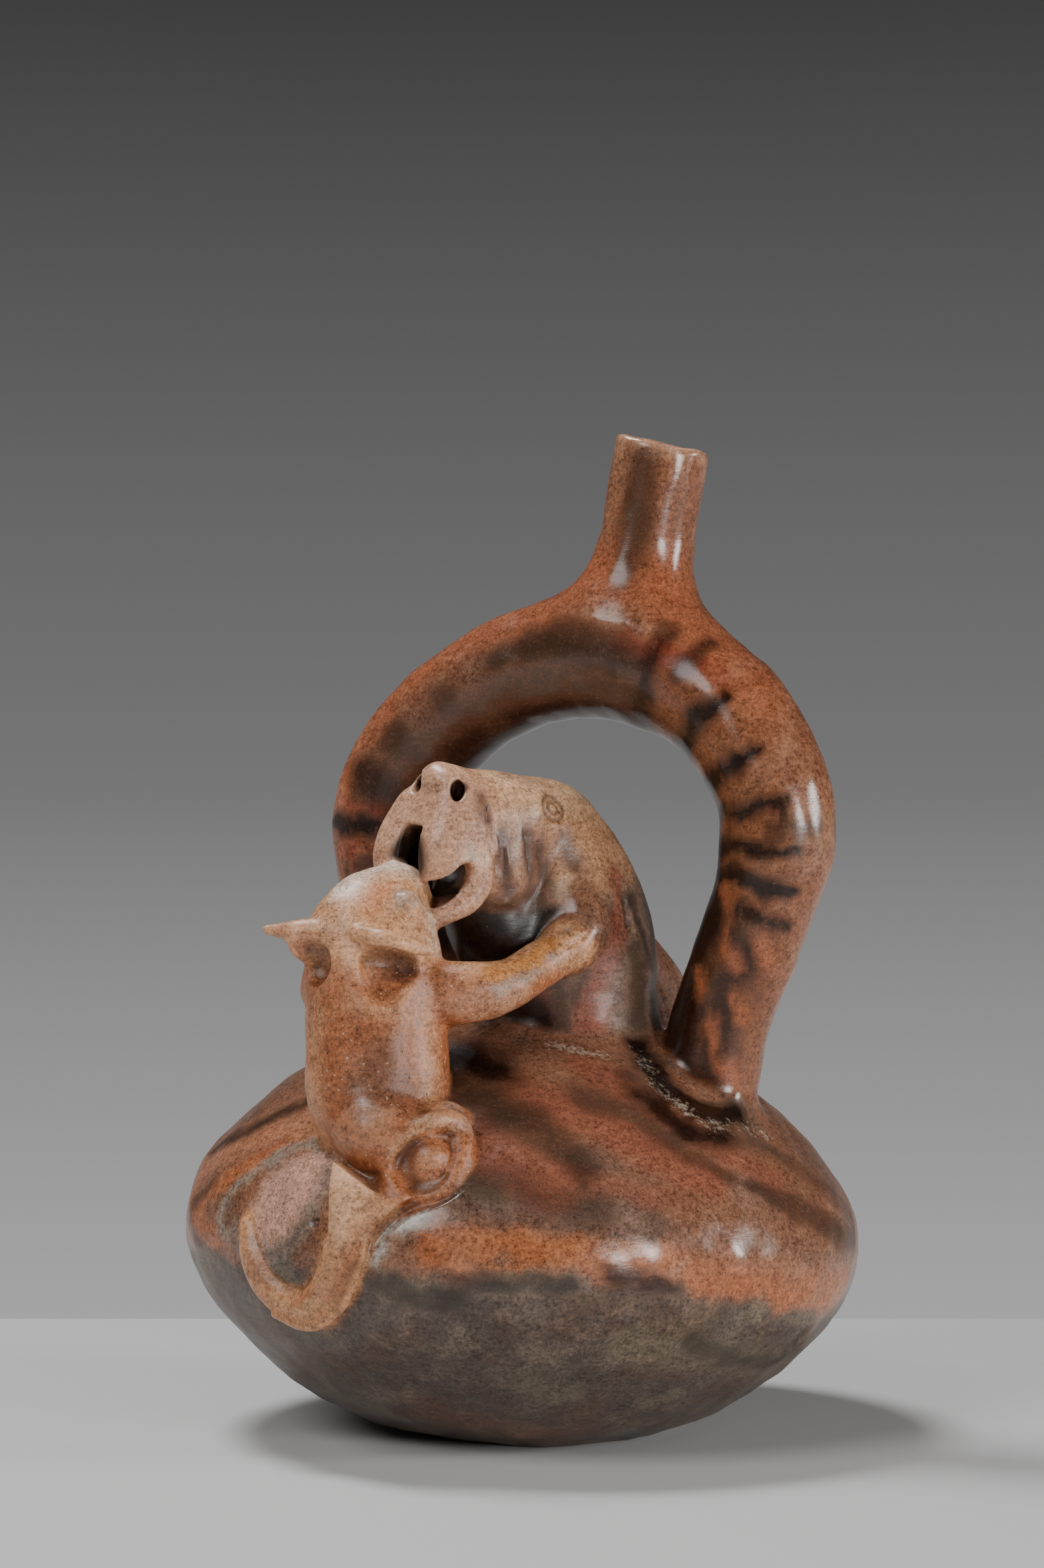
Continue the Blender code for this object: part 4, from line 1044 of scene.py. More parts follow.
def paint_tube(paint, zone):
    """Stirrup and spout: dark bands on both legs, a dark underside and a dark inner side of the right leg (dark
    paint and painted shade), a smudge up the spout.
    """
    paint.fill(ARCH, zone)
    paint.clear(zone)
    paint.tint(ARCH_RED, on_tube([(6.8, 60), (8, 62), (10, 62), (12, 60), (13, 55)]), 8.0, 0.8, 0.6, zone)
    paint.tint(TUBE_RED, on_tube([(7.0, 30), (7.5, 24), (8.1, 20)]), 3.4, 0.8, 0.5, zone)
    paint.tint(TUBE_ORANGE, on_tube([(6.6, -20), (5, -20), (3.4, -20), (2, 0), (0.6, 10)]), 11.0, 0.8, 0.6,
               zone)
    paint.tint((116, 84, 66), on_tube([(8.2, -10), (9.4, -5), (11, -5), (12.2, -10)]), 7.0, 0.7, 0.7, zone)
    # underside of the stirrup's top: dark paint and painted shade
    paint.darken(on_tube([(7.8, -95), (9.2, -95), (11, -95), (12, -95)]), 9.0, 0.95, 0.5, zone)
    paint.darken(on_tube([(8.0, -62), (9.2, -60), (11, -58), (12.2, -60)]), (5.5, 6.0, 6.5, 6.0), 0.84, 0.7,
                zone)
    paint.darken(on_tube([(8.0, 6), (8.8, 12), (9.5, 12), (10.1, 6)]), (4.5, 5.0, 4.4, 3.0), 0.74, 0.8, zone)
    paint.darken(on_tube([(8.0, -30), (9.4, -32), (10.6, -35), (11.8, -35)]), 6.0, 0.5, 0.9, zone)
    bands = (
        (7.75, -70, 50, 3.2, 0.84), (7.35, 15, 65, 2.6, 0.8), (6.85, -80, 28, 3.4, 0.96),
        (6.2, -84, 22, 3.4, 0.97),
        (5.55, -84, 34, 2.8, 0.94), (4.85, -84, 50, 3.0, 0.96), (4.25, -84, 50, 2.9, 0.96),
        (5.2, 25, 70, 2.2, 0.72),
        (3.7, -84, 60, 3.0, 0.95),
    )
    for number, start, end, width, strength in bands:
        turns = np.linspace(start, end, 5)
        paint.darken(on_tube([(number, turn) for turn in turns]),
                    (width, width, width * 0.8, width * 0.9, width * 0.5),
                    strength, 0.6, zone)
    # inner side of the right leg: dark paint and painted shade
    paint.darken(on_tube([(7.6, -95), (6, -100), (4.5, -100), (3, -95), (1.2, -95)]),
                (3.5, 3.5, 4.5, 7.0, 8.0), 0.95,
                0.5, zone)
    paint.darken(on_tube([(3.5, -40), (2.6, -35), (1.5, -30), (0.4, -20)]), (6.0, 8.0, 9.0, 9.0), 0.95, 0.6,
                zone)
    paint.darken(on_tube([(3.3, 20), (2.4, 22), (1.4, 25), (0.4, 30)]), (5.0, 6.0, 6.0, 6.0), 0.84, 0.7,
                zone)
    for number, turn, width in ((3.9, -20, 1.9), (3.1, 10, 1.8), (2.55, -15, 1.7), (2.0, 18, 1.7),
                                (1.4, -12, 1.5),
                                (3.4, 44, 2.6), (2.4, 46, 2.2), (1.6, 48, 2.4), (0.75, 40, 2.4),
                                (0.9, -25, 1.4)):
        spot = paint.cover(on_tube([(number, turn - 6), (number - 0.2, turn + 6)]), width, 0.6) * zone
        paint.fill((168, 96, 62), spot * 0.9)
        paint.soot_and_shade *= 1.0 - 0.85 * spot
    for number, start, end, width, strength in (
        (12.5, -80, 10, 5.0, 0.78), (13.25, -80, 60, 2.6, 0.95), (13.9, -80, 20, 2.0, 0.7),
        (14.5, -80, 50, 3.4, 0.85),
        (15.4, -80, 60, 4.0, 0.85), (16.4, -80, 40, 5.0, 0.85), (11.7, -70, 5, 4.0, 0.6),
        (10.9, -60, -10, 4.0, 0.5),
    ):
        paint.darken(on_tube([(number, turn) for turn in np.linspace(start, end, 5)]), width, strength, 0.6,
                    zone)
    for number in (12.95, 13.6):
        paint.tint((160, 84, 60), on_tube([(number, -60), (number, 0), (number, 40)]), 1.6, 0.85, 0.6, zone)
    for number, start, end in ((5.2, 110, 200), (6.6, 120, 220), (8.6, 150, 210), (10.4, 140, 220),
                               (12.6, 120, 210),
                               (14.0, 110, 215), (3.6, 120, 210), (2.2, 120, 230), (15.6, 120, 220)):
        paint.darken(on_tube([(number, turn) for turn in np.linspace(start, end, 5)]), 2.4, 0.75, 0.6, zone)
    place, axes = spout_frame()
    front = np.array([place - axes[1] * SPOUT_RADIUS + axes[0] * side + axes[2] * up
                      for side, up in ((1.5, 44), (2.2, 34), (2.6, 24), (1.8, 16))])
    paint.tint((112, 74, 52), front, (4.0, 4.6, 4.2, 3.0), 0.8, 0.6, zone)
    paint.tint((160, 110, 82), front + axes[0] * -7.0 + axes[1] * 3.0, 3.4, 0.7, 0.6, zone)
    paint.darken(front, (2.6, 3.2, 3.0, 2.0), 0.4, 0.7, zone)
    rim = np.array([place + (axes[0] * math.cos(a) + axes[1] * math.sin(a)) * 9.2 + axes[2] * (SPOUT_RISE - 0.4)
                    for a in np.linspace(0, 2 * math.pi, 13)])
    paint.tint((188, 138, 112), rim, 1.6, 0.9, 0.5, zone)


def paint_beast(paint, zone):
    paint.fill(NECK, zone)
    paint.clear(zone)
    at = (paint.places - SKULL) @ HEAD_AXES.T
    face = zone * ease(-13.0, -7.0, at[:, 2] + 0.25 * at[:, 0])
    paint.fill(FACE, face)
    paint.fill(FACE_PALE, face * ease(3.0, 11.0, at[:, 2]) * ease(26.0, 18.0, at[:, 0]) * 0.75)
    paint.fill(MUZZLE, face * ease(22.0, 26.0, at[:, 0]))
    paint.fill(CHEEK_GREY, zone * ease(0.0, 0.5, paint.cloud + 0.1) * 0.35)
    for points, width, strength in (
        ([head(21.5, 11.5, 1.0), head(20.5, 12.0, -5.0), head(19.0, 11.5, -10.0)], 2.8, 0.9),
        ([head(16.0, 12.6, 2.0), head(14.0, 12.0, -5.0), head(13.0, 11.5, -10.0)], 2.6, 0.8),
        ([head(11.0, 12.0, -2.0), head(9.0, 11.6, -7.0), head(6.0, 11.6, -10.0)], 3.0, 0.7),
        ([head(5.0, 11.8, 0.0), head(2.0, 12.0, -6.0)], 2.6, 0.6),
        ([head(26.0, 9.0, 9.0), head(26.2, 11.5, 5.0)], 2.4, 0.5),
    ):
        paint.tint(CHEEK_GREY, points, width, strength, 0.6, zone)
        paint.darken(points, width * 0.55, 0.55, 0.7, zone)
    # dark throat and chest under the head: partly dark paint, partly painted shade under the head and arm
    paint.darken([head(23.0, 8.0, -15.0), head(18.0, 10.0, -15.0), head(12.0, 11.5, -13.0)], (4.0, 4.5, 3.5),
                0.72, 0.6, zone)
    paint.darken([head(24.0, 4.0, -19.0), head(17.5, 8.0, -21.0), head(11.0, 10.0, -20.0),
                 head(6.0, 12.0, -17.0)],
                (7.0, 7.5, 6.0, 3.0), 1.0, 0.5, zone)
    paint.darken([head(20.0, -4.0, -19.0), head(12.0, 0.0, -27.0), head(10.0, 4.0, -30.0)], (8.0, 9.0, 7.0),
                1.0, 0.5, zone)
    for points, width in (
        ([(-14.0, -20.0, 12.5), (-13.0, -20.0, 6.0), (-11.0, -21.0, -2.0)], 3.0),
        ([(-7.0, -20.0, 10.0), (-7.4, -21.0, 4.0), (-7.0, -22.0, -3.0)], 2.4),
        ([(9.5, -17.5, 22.0), (7.2, -19.5, 13.0), (5.2, -20.5, 4.0), (4.0, -21.5, -3.0)], 3.3),
        ([(9.8, -14.4, 33.0), (10.5, -14.6, 27.0), (9.6, -17.0, 21.0)], 2.0),
        ([(-19.0, -8.0, 8.0), (-20.0, -9.0, -2.0)], 3.0),
        ([(20.0, 0.0, 14.0), (22.0, 2.0, 2.0)], 3.0),
        ([(12.0, 18.0, 18.0), (12.0, 22.0, 2.0)], 3.2),
        ([(-2.0, 21.0, 18.0), (-3.0, 22.0, 2.0)], 3.2),
        ([(-14.0, 15.0, 16.0), (-16.0, 17.0, 2.0)], 3.0),
    ):
        paint.tint(NECK_RED, [BEAST + vec(*p) for p in points], width, 0.95, 0.45, zone)
    for points, width, strength in (
        ([(-3.0, -20.5, 14.0), (-2.4, -21.0, 6.0), (-2.0, -22.0, -2.5)], 2.2, 0.62),
        ([(1.6, -20.5, 12.0), (1.0, -21.0, 4.0)], 1.2, 0.5),
        ([(14.0, -14.4, 16.0), (15.0, -14.0, 6.0), (16.0, -14.0, -5.0)], 3.0, 0.6),
        # dark patch low on the neck's left side under the arm: painted shade
        ([(-17.0, -14.0, 6.0), (-18.0, -15.0, -2.0), (-17.0, -18.0, -7.0)], 4.5, 0.95),
        ([(-11.0, -21.0, 8.0), (-10.0, -21.0, 0.0)], 1.4, 0.7),
        ([(13.0, -11.8, 28.0), (15.5, -11.5, 21.0), (17.5, -10.5, 12.0)], 1.6, 0.75),
        ([(6.0, 20.0, 20.0), (5.0, 23.0, 2.0)], 2.8, 0.8),
        ([(-9.0, 19.0, 18.0), (-10.0, 21.0, 2.0)], 2.8, 0.7),
        ([(18.0, 9.0, 20.0), (20.0, 12.0, 4.0)], 2.8, 0.7),
    ):
        paint.darken([BEAST + vec(*p) for p in points], width, strength, 0.6, zone)
    paint.tint(FACE_PALE, [BEAST + vec(-2.7, -19.5, 29.4)], 3.0, 0.9, 0.5, zone)
    paint.tint(FACE, [BEAST + vec(3.5, -19.0, 27.0), BEAST + vec(7.0, -18.0, 31.0)], 3.0, 0.6, 0.6, zone)
    for spot in (head(7.6, 11.4, 8.1), head(7.6, -11.4, 8.1)):
        paint.tint((178, 134, 100), [spot], 3.6, 0.6, 0.4, zone)
    paint.matte = np.maximum(paint.matte, zone * 0.35)
    paint.pits = np.maximum(paint.pits, zone * 0.35)
    # inside of the open mouth painted near black: painted shade in the mouth's hollow
    for place in (head(29.6, 1.2, -5.6), head(33.5, 0.0, -4.6), head(29.6, -3.0, -6.0)):
        gap = np.linalg.norm(paint.true - place, axis=1)
        paint.soot_and_shade = np.maximum(paint.soot_and_shade, zone * ease(8.4, 6.6, gap))
    # nostrils painted near black: painted shade in the holes
    for place in (head(29.0, 4.8, 10.3), head(30.5, -4.6, 11.6)):
        gap = np.linalg.norm(paint.true - place, axis=1)
        paint.soot_and_shade = np.maximum(paint.soot_and_shade, zone * ease(3.0, 1.8, gap))


def paint_animal(paint, zone):
    paint.fill(TORSO, zone)
    paint.clear(zone)
    up = paint.places[:, 2] - ANIMAL[2]
    across = paint.places[:, 0] - ANIMAL[0]
    paint.fill(TAN, zone * ease(27.0, 34.0, up))
    paint.fill(TORSO_LIGHT, zone * ease(-11.0, -15.0, across) * 0.8 * ease(24.0, 20.0, up))
    paint.tint(TORSO_LIGHT,
               [ANIMAL + vec(10, -10, 22), ANIMAL + vec(12, -10, 8), ANIMAL + vec(12, -10, -2)], 3.4, 0.8,
               0.6, zone)
    paint.tint(TORSO_LIGHT, [ANIMAL + vec(-8, -12, 24), ANIMAL + vec(0, -12, 26), ANIMAL + vec(8, -12, 24)],
               3.0, 0.5,
               0.7, zone)
    paint.tint(TORSO_DARK, [ANIMAL + vec(0, -13, 14), ANIMAL + vec(-1, -14, 4), ANIMAL + vec(-1, -13, -5)],
               (4.0, 7.5, 8.0), 0.85, 0.7, zone)
    # dark strip under the right ear: painted shade
    paint.tint(TORSO_DARK, [CROWN + vec(3, -12, -9), CROWN + vec(8, -11, -9)], 2.6, 0.8, 0.6, zone)
    paint.tint(TAN_PALE, [CROWN + vec(4.7, 5, 15), CROWN + vec(-3, 0, 12), CROWN + vec(-6, -5, 8)],
               (6.0, 5.0, 3.0),
               0.95, 0.6, zone)
    paint.tint((206, 134, 92), [CROWN + vec(1.5, -9, 9.0), CROWN + vec(0, -10.5, 5.5)], (2.4, 3.2), 0.8,
               0.6, zone)
    paint.tint((170, 140, 122), [CROWN + vec(6.9, -8.5, 8.0)], 3.4, 0.85, 0.5, zone)
    paint.tint((222, 190, 160), [CROWN + vec(11.5, -4.0, 4.0), CROWN + vec(12, -5, -2)], 3.0, 0.8, 0.6,
               zone)
    paint.tint((196, 136, 104), [CROWN + vec(-20, -6, -1), CROWN + vec(-13, -9, -4)], 3.2, 0.7, 0.6, zone)
    for points, width, strength in (
        ([ANIMAL + vec(14, -6, 25), ANIMAL + vec(20, -3, 25)], 4.4, 0.0),
        ([ANIMAL + vec(8, -9, 25), ANIMAL + vec(15, -7, 24)], 3.4, 0.6),
    ):
        paint.tint((176, 116, 84), points, width, max(strength, 0.5), 0.7, zone)
    arm = [ANIMAL + vec(22, -1, 30), ANIMAL + vec(27, 1, 31), BEAST + vec(-5.0, -26.5, 15.5)]
    paint.tint(ARM_OCHRE, arm, (2.8, 3.4, 2.2), 0.9, 0.6, zone)
    paint.tint((204, 150, 116), [ANIMAL + vec(20, -4, 22), ANIMAL + vec(27, 0, 25)], 2.6, 0.6, 0.6, zone)
    paint.tint((150, 128, 116), [ANIMAL + vec(23, -3, 26.5), BEAST + vec(-6.5, -27.5, 12.5)], 1.4, 0.7, 0.6,
               zone)
    paint.darken([BEAST + vec(-3, -26, 20), BEAST + vec(0.4, -24, 21.4)], 1.0, 0.5, 0.6, zone)
    # dark line along the groove round the haunch spiral: painted shade in the crease
    shade = [ANIMAL + vec(*p) for p in ((8.2, -20.9, -14), (5.6, -20, -11.6), (5.4, -19.4, -8.4),
                                        (7.4, -19.2, -5.2))]
    paint.darken(shade, 1.6, 0.5, 0.6, zone)
    paint.tint((196, 130, 92), [ANIMAL + vec(10.2, -19.2, -9.2)], 3.4, 0.8, 0.5, zone)
    paint.tint((190, 140, 104),
               [ANIMAL + vec(3, -18, -6), ANIMAL + vec(8, -17, -1), ANIMAL + vec(15, -15, -1)], 1.6,
               0.9, 0.5, zone)
    paint.tint((150, 124, 110), [ANIMAL + vec(16, -12, 6), ANIMAL + vec(18, -11, -3)], 2.6, 0.7, 0.6, zone)
    paint.matte = np.maximum(paint.matte, zone * 0.5)
    paint.pits = np.maximum(paint.pits, zone * 0.95)


def paint_tail(paint, zone):
    paint.fill(TAIL_TAN, zone)
    paint.clear(zone)
    paint.tint(ROOT_TAN, [ANIMAL + vec(-7, -20, -12), ANIMAL + vec(-4, -21, -16),
                          ANIMAL + vec(-6, -22, -22)], 5.0, 0.85,
               0.6, zone)
    paint.tint((168, 104, 68),
               [ANIMAL + vec(-4.6, -21, -24), ANIMAL + vec(-6, -20.5, -31), ANIMAL + vec(-9, -18.5, -37),
                                ANIMAL + vec(-14, -15, -40.5)], 1.8, 0.75, 0.6, zone)
    paint.tint((170, 116, 82), [ANIMAL + vec(1.5, -21, -17), ANIMAL + vec(-1, -21.5, -22)], 3.0, 0.8, 0.7,
               zone)
    paint.tint((214, 160, 116), [ANIMAL + vec(-10, -17, -39), ANIMAL + vec(-15, -13.6, -42.4),
                                 ANIMAL + vec(-21, -9.5, -40)], 1.4, 0.8, 0.6, zone)
    paint.tint((168, 118, 88), [ANIMAL + vec(-23, -7, -36), ANIMAL + vec(-26, -3.4, -29)], 3.0, 0.7, 0.6,
               zone)
    paint.darken([ANIMAL + vec(-3.5, -21.5, -30), ANIMAL + vec(-8, -18.4, -41)], 0.9, 0.4, 0.6, zone)
    paint.matte = np.maximum(paint.matte, zone * 0.3)
    paint.pits = np.maximum(paint.pits, zone * 0.4)


def bend_of(mesh, places):
    """How far every point stands out of its neighbours, smoothed, in millimetres."""
    ends = np.empty(len(mesh.edges) * 2, np.int32)
    mesh.edges.foreach_get("vertices", ends)
    a, b = ends.reshape(-1, 2).T
    count = np.bincount(np.concatenate([a, b]), minlength=len(places)).clip(1)

    def around(values):
        return np.column_stack([
            np.bincount(np.concatenate([a, b]), np.concatenate([row[b], row[a]]), len(places)) / count
            for row in values.T
        ])

    normals = np.empty(len(places) * 3, np.float32)
    mesh.vertex_normals.foreach_get("vector", normals)
    wide = around(around(places))
    bend = ((places - wide) * normals.reshape(-1, 3)).sum(1)
    return around(around(bend[:, None]))[:, 0]


def painted(vase, clay, parts):
    """Stores the paint on the mesh as attributes for the material to read."""
    mesh = vase.data
    world = np.empty(len(mesh.vertices) * 3, np.float32)
    mesh.vertices.foreach_get("co", world)
    world = world.reshape(-1, 3).astype(float) / MM
    lean = math.radians(LEAN_DEG)
    x = world[:, 0] * math.cos(lean) - world[:, 2] * math.sin(lean)
    z = world[:, 0] * math.sin(lean) + world[:, 2] * math.cos(lean)
    places = np.column_stack([x, world[:, 1], z])
    paint = Paint(places, clay)
    zones = {name: ease(1.3, 0.1, sample(part, places)) for name, part in parts.items()}
    paint_body(paint)
    paint_curl(paint)
    paint_tube(paint, zones["handle"] * ease(88.0, 90.0, z + 0.25 * places[:, 0]))
    paint_beast(paint, zones["beast"])
    paint_animal(paint, zones["animal"])
    paint_tail(paint, zones["tail"])
    inside = ease(0.9, 0.2, sample(parts["hollow"], places))
    paint.fill(INSIDE, inside)
    paint.clear(inside)
    paint.matte = np.maximum(paint.matte, inside)
    bend = np.clip(bend_of(mesh, world) / 0.14, -1.0, 1.0)
    for name, values in (("soot_and_shade", paint.soot_and_shade), ("lime", paint.lime), ("matte", paint.matte),
                         ("pits", paint.pits),
                         ("bend", bend)):
        mesh.attributes.new(name, "FLOAT", "POINT").data.foreach_set("value", values.astype(np.float32))
    tone = np.column_stack([paint.tone * ALBEDO, np.ones(len(places))]).astype(np.float32)
    mesh.attributes.new("tone", "FLOAT_COLOR", "POINT").data.foreach_set("color", tone.ravel())


# the clay itself


class Graph:
    """Short ways to put nodes in a material."""

    def __init__(self, material):
        self.tree = material.node_tree
        self.shader = self.tree.nodes["Principled BSDF"]

    def link(self, source, target):
        if isinstance(source, bpy.types.NodeSocket):
            self.tree.links.new(source, target)
        else:
            target.default_value = source

    def attribute(self, name, colour=False):
        node = self.tree.nodes.new("ShaderNodeAttribute")
        node.attribute_name = name
        return node.outputs["Color" if colour else "Fac"]

    def math(self, kind, a, b=0.0, c=0.0):
        node = self.tree.nodes.new("ShaderNodeMath")
        node.operation = kind
        for value, socket in zip((a, b, c), node.inputs):
            self.link(value, socket)
        return node.outputs[0]

    def vector(self, kind, a, b):
        node = self.tree.nodes.new("ShaderNodeVectorMath")
        node.operation = kind
        self.link(a, node.inputs[0])
        self.link(b, node.inputs[1])
        return node.outputs["Value" if kind == "DISTANCE" else "Vector"]

    def grain(self, spots, scale, detail, rough=0.6):
        """Noise about 0, mostly between -1 and 1."""
        node = self.tree.nodes.new("ShaderNodeTexNoise")
        self.link(spots, node.inputs["Vector"])
        node.inputs["Scale"].default_value = scale
        node.inputs["Detail"].default_value = detail
        node.inputs["Roughness"].default_value = rough
        return self.math("MULTIPLY_ADD", node.outputs["Fac"], 4.0, -2.0)

    def step(self, value, low, high):
        node = self.tree.nodes.new("ShaderNodeMapRange")
        node.interpolation_type = "SMOOTHSTEP"
        self.link(value, node.inputs["Value"])
        node.inputs["From Min"].default_value = low
        node.inputs["From Max"].default_value = high
        return node.outputs["Result"]

    def mix(self, share, a, b, kind="MIX"):
        node = self.tree.nodes.new("ShaderNodeMix")
        node.data_type = "RGBA"
        node.blend_type = kind
        self.link(share, node.inputs[0])
        self.link(a, node.inputs[6])
        self.link(b, node.inputs[7])
        return node.outputs[2]

    def add(self, first, *others):
        for value, gain in others:
            first = self.math("MULTIPLY_ADD", value, gain, first)
        return first


def shade(colour, gain=1.0):
    return (*(linear(colour) * gain), 1.0)


# darker copy of a colour, for dirt and painted shade in hollows and grooves
def dirt_and_shade_of(graph, colour):
    return graph.mix(1.0, colour, (0.42, 0.40, 0.38, 1.0), "MULTIPLY")


def leaned(place):
    """Place in the frame of the scene, in millimetres."""
    lean = math.radians(LEAN_DEG)
    return vec(place[0] * math.cos(lean) + place[2] * math.sin(lean), place[1],
               place[2] * math.cos(lean) - place[0] * math.sin(lean))


def fired_clay():
    """Slip-painted clay, burnished, with soot clouds and painted shade, lime, pits, creases darkened by dirt
    and painted shade, and edges paled by wear and painted highlight.
    """
    material = bpy.data.materials.new("painted_clay")
    material.use_nodes = True
    graph = Graph(material)
    spots = graph.vector("MULTIPLY", graph.tree.nodes.new("ShaderNodeTexCoord").outputs["Object"],
                         (1000.0,) * 3)
    drawn = graph.vector("MULTIPLY", spots, (0.28, 0.28, 1.5))
    broad = graph.grain(spots, 0.07, 3.0)
    patch = graph.grain(spots, 0.42, 5.0, 0.7)
    grit = graph.grain(spots, 1.1, 3.0, 0.8)
    dots = graph.grain(graph.vector("ADD", spots, (31.0, 7.0, 3.0)), 2.3, 2.0, 0.6)
    strokes = graph.grain(drawn, 0.8, 4.0, 0.6)
    soot_and_shade, lime = graph.attribute("soot_and_shade"), graph.attribute("lime")
    matte, bend = graph.attribute("matte"), graph.attribute("bend")

    tone = graph.attribute("tone", True)
    light = graph.add(0.96, (broad, 0.14), (patch, 0.34), (grit, 0.60), (strokes, 0.18), (dots, 0.34))
    light = graph.math("MAXIMUM", light, 0.3)
    colour = graph.vector("MULTIPLY", tone, light)
    dull = graph.mix(1.0, colour, (0.64, 0.68, 0.70, 1.0), "MULTIPLY")
    colour = graph.mix(graph.math("MULTIPLY", graph.step(graph.add(patch, (dots, 0.5)), 0.25, 1.1), 0.55),
                       colour, dull)
    warm = graph.mix(1.0, colour, (1.28, 1.05, 0.86, 1.0), "MULTIPLY")
    colour = graph.mix(graph.math("MULTIPLY", graph.step(graph.add(patch, (strokes, 0.6)), -0.2, -1.0),
                                  0.6), colour, warm)

    # convex edges paler: partly worn clay, partly painted highlight on the ridges
    worn_and_highlit = graph.mix(0.35, graph.mix(1.0, colour, (1.45, 1.42, 1.38, 1.0), "MULTIPLY"),
                     shade((206, 170, 140), 0.7))
    edge = graph.math("MULTIPLY", graph.step(graph.add(bend, (patch, 0.22), (grit, 0.16)), 0.25, 0.95), 0.7)
    colour = graph.mix(edge, colour, worn_and_highlit)
    # hollows and creases darker: partly dirt, partly painted shade
    crease_dirt_and_shade = graph.math("MULTIPLY", graph.step(graph.add(bend, (patch, 0.2), (grit, 0.12)), -0.2, -1.0), 0.75)
    colour = graph.mix(crease_dirt_and_shade, colour, dirt_and_shade_of(graph, colour))

    # the soot mask darkens the colour to grey and near black: dark paint, and painted shade where the mask
    # carries it
    cover = graph.step(graph.add(soot_and_shade, (broad, 0.10), (patch, 0.30), (grit, 0.60), (dots, 0.30)), 0.22,
                       0.56)
    cover = graph.math("MULTIPLY", cover, graph.step(soot_and_shade, 0.0, 0.2))
    deep = graph.step(soot_and_shade, 0.6, 1.0)
    ink_and_shade = graph.mix(deep, (0.42, 0.43, 0.43, 1.0), (0.075, 0.07, 0.065, 1.0))
    inked_and_shaded = graph.mix(1.0, colour, ink_and_shade, "MULTIPLY")
    colour = graph.mix(cover, colour, inked_and_shaded)
    flecks = graph.math("MULTIPLY", graph.step(graph.add(dots, (grit, 0.5)), 0.85, 1.3), 0.5)
    colour = graph.mix(flecks, colour, graph.mix(1.0, colour, (0.45, 0.43, 0.42, 1.0), "MULTIPLY"))

    crust = graph.step(graph.add(lime, (patch, 0.25), (grit, 0.35)), 0.45, 0.95)
    crust = graph.math("MULTIPLY", graph.math("MULTIPLY", crust, graph.step(lime, 0.0, 0.2)), 0.75)
    colour = graph.mix(crust, colour, shade((196, 178, 156), 0.85))

    cells = graph.tree.nodes.new("ShaderNodeTexVoronoi")
    graph.link(graph.vector("ADD", spots, (2.0, 5.0, 8.0)), cells.inputs["Vector"])
    cells.inputs["Scale"].default_value = 0.62
    cells.inputs["Randomness"].default_value = 1.0
    size = graph.math("MULTIPLY", graph.attribute("pits"), 0.17)
    size = graph.math("ADD", size, graph.math("MULTIPLY", patch, 0.10))
    pit = graph.step(graph.math("SUBTRACT", size, cells.outputs["Distance"]), -0.03, 0.06)
    chalky = graph.step(graph.add(0.0, (grit, 1.0), (broad, 0.5)), -0.5, 0.0)
    filled = graph.mix(chalky, graph.mix(1.0, colour, (0.40, 0.36, 0.34, 1.0), "MULTIPLY"),
                       shade((226, 196, 160), 0.8))
    colour = graph.mix(graph.math("MULTIPLY", pit, 0.7), colour, filled)
    rings = 0.0
    for place, sizes in ((head(7.6, 11.6, 8.1), (3.1, 1.5)), (head(7.6, -11.6, 8.1), (3.1, 1.5)),
                         (ANIMAL + vec(-12.8, -13.5, -23.3), (0.9,))):
        gap = graph.vector("DISTANCE", spots, tuple(leaned(place)))
        for size in sizes:
            line = graph.math("ABSOLUTE", graph.math("SUBTRACT", gap, size))
            line = graph.step(graph.add(line, (grit, 0.12)), 0.55, 0.2)
            rings = graph.math("MAXIMUM", rings, line)
    # the incised rings are darkened: dirt and painted shade in the tooled lines
    colour = graph.mix(graph.math("MULTIPLY", rings, 0.7), colour, dirt_and_shade_of(graph, colour))
    graph.link(colour, graph.shader.inputs["Base Color"])

    rough = graph.add(0.21, (matte, 0.38), (patch, 0.05), (grit, 0.05), (crust, 0.35), (cover, 0.03),
                      (pit, 0.2))
    graph.link(graph.math("MINIMUM", graph.math("MAXIMUM", rough, 0.2), 0.95),
               graph.shader.inputs["Roughness"])
    graph.shader.inputs["Specular IOR Level"].default_value = 0.42

    relief = graph.add(0.0, (strokes, 0.026), (patch, 0.022), (grit, 0.014), (dots, 0.007), (pit, -0.22),
                       (crust, 0.05),
                       (rings, -0.2))
    bump = graph.tree.nodes.new("ShaderNodeBump")
    graph.link(graph.add(0.28, (matte, 0.8)), bump.inputs["Strength"])
    bump.inputs["Distance"].default_value = 0.001
    graph.link(relief, bump.inputs["Height"])
    graph.link(bump.outputs["Normal"], graph.shader.inputs["Normal"])
    return material


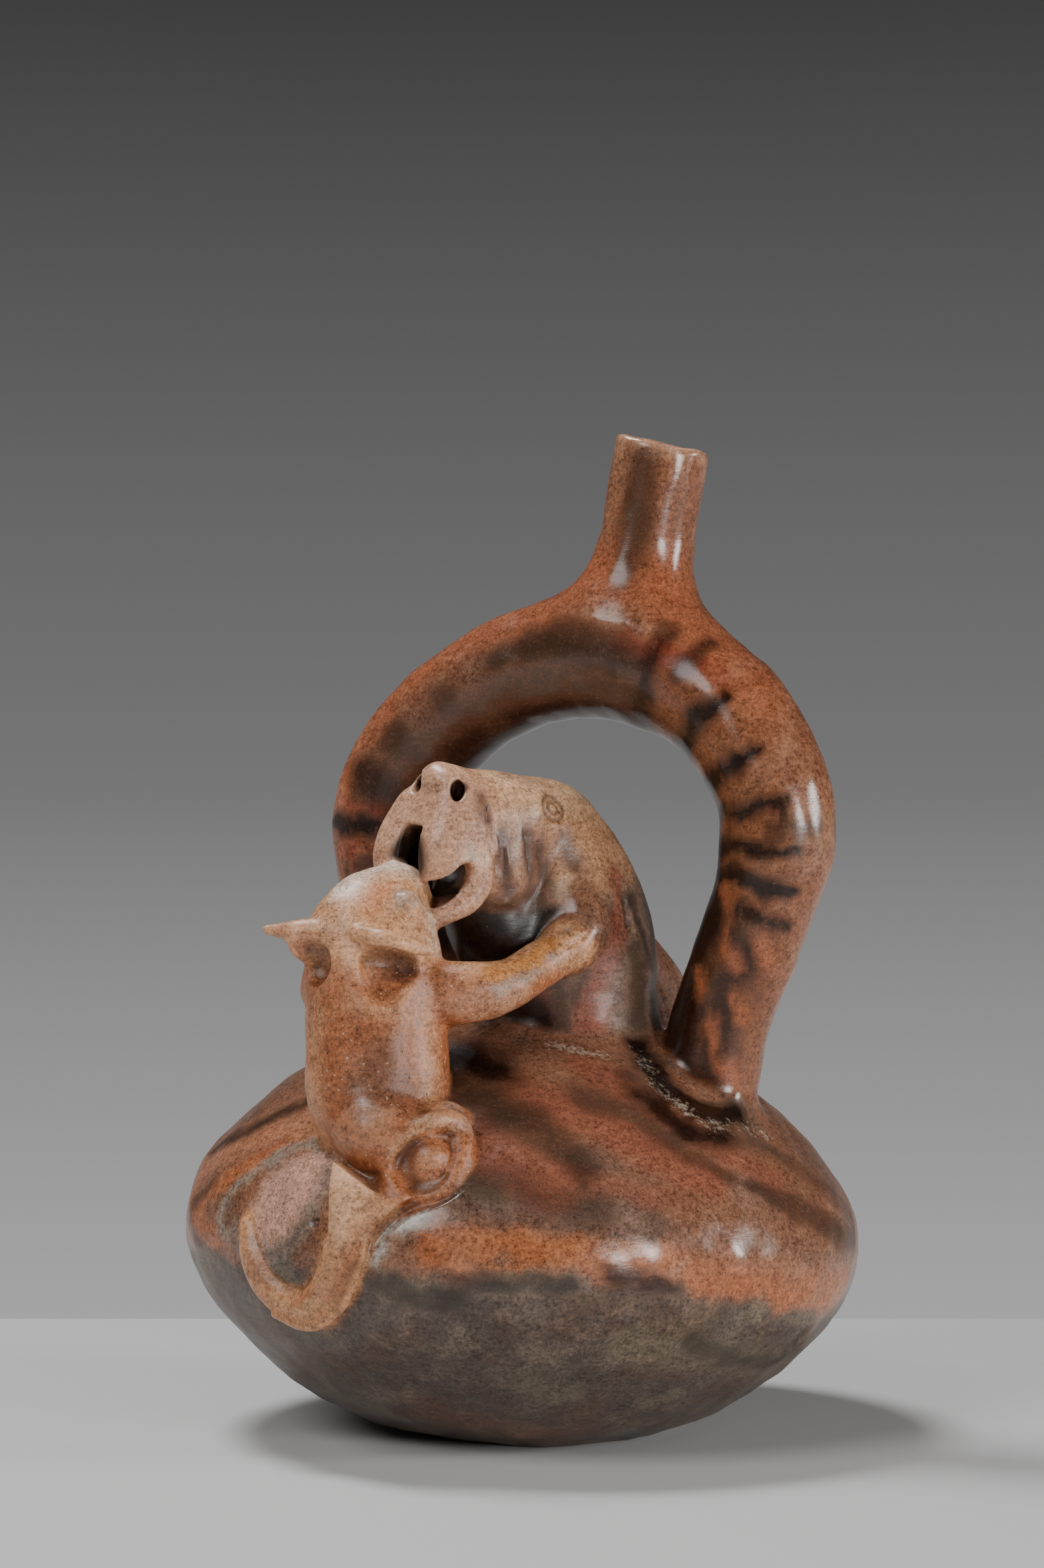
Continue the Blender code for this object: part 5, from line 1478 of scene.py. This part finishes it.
def studio():
    """Pale table, a backdrop that darkens upward, four soft lamps and the camera."""
    bpy.ops.mesh.primitive_plane_add(size=1.0)
    floor = bpy.context.active_object
    floor.name = "floor"
    floor.scale = (5.0, 2.4, 1.0)
    floor.location = (0.0, FLOOR_BACK - 1.2, 0.0)
    material = bpy.data.materials.new("pale_floor")
    material.use_nodes = True
    shader = material.node_tree.nodes["Principled BSDF"]
    shader.inputs["Base Color"].default_value = (0.60, 0.60, 0.60, 1.0)
    shader.inputs["Roughness"].default_value = 0.7
    floor.data.materials.append(material)

    world = bpy.data.worlds.new("studio")
    bpy.context.scene.world = world
    world.use_nodes = True
    tree = world.node_tree
    place = tree.nodes.new("ShaderNodeTexCoord")
    split = tree.nodes.new("ShaderNodeSeparateXYZ")
    tree.links.new(place.outputs["Generated"], split.inputs[0])
    rise = tree.nodes.new("ShaderNodeMapRange")
    rise.inputs["From Min"].default_value = -0.25
    rise.inputs["From Max"].default_value = 0.25
    tree.links.new(split.outputs["Z"], rise.inputs["Value"])
    ramp = tree.nodes.new("ShaderNodeValToRGB")
    tree.links.new(rise.outputs["Result"], ramp.inputs["Fac"])
    ramp.color_ramp.elements[0].position = BACKDROP[0][0]
    ramp.color_ramp.elements[1].position = BACKDROP[-1][0]
    for element, (_, grey) in zip(ramp.color_ramp.elements, (BACKDROP[0], BACKDROP[-1])):
        element.color = shade((grey, grey, grey))
    for position, grey in BACKDROP[1:-1]:
        ramp.color_ramp.elements.new(position).color = shade((grey, grey, grey))
    tree.links.new(ramp.outputs["Color"], tree.nodes["Background"].inputs[0])
    tree.nodes["Background"].inputs[1].default_value = 1.0

    def lamp(name, way, away, size, power):
        data = bpy.data.lights.new(name, "AREA")
        data.shape = "DISK"
        data.size = size
        data.energy = power
        obj = bpy.data.objects.new(name, data)
        aim = Vector((0.0, 0.0, 0.09))
        obj.location = aim + Vector(way).normalized() * away
        obj.rotation_euler = (aim - obj.location).to_track_quat("-Z", "Y").to_euler()
        bpy.context.scene.collection.objects.link(obj)

    for row in LAMPS:
        lamp(*row)

    data = bpy.data.cameras.new("view")
    data.sensor_fit = "VERTICAL"
    data.sensor_height = 36.0
    data.lens = 5803.0 / 2356.0 * 36.0
    camera = bpy.data.objects.new("view", data)
    camera.location = (0.0023, -0.870, 0.144)
    camera.rotation_euler = (math.radians(90.0), 0.0, 0.0)
    bpy.context.scene.collection.objects.link(camera)
    bpy.context.scene.camera = camera


clay, parts = sculpt()
vase = thinned(skin(clay), TRIANGLES)
painted(vase, clay, parts)
vase.data.materials.clear()
vase.data.materials.append(fired_clay())
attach(vase, "root")
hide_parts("vase")
studio()
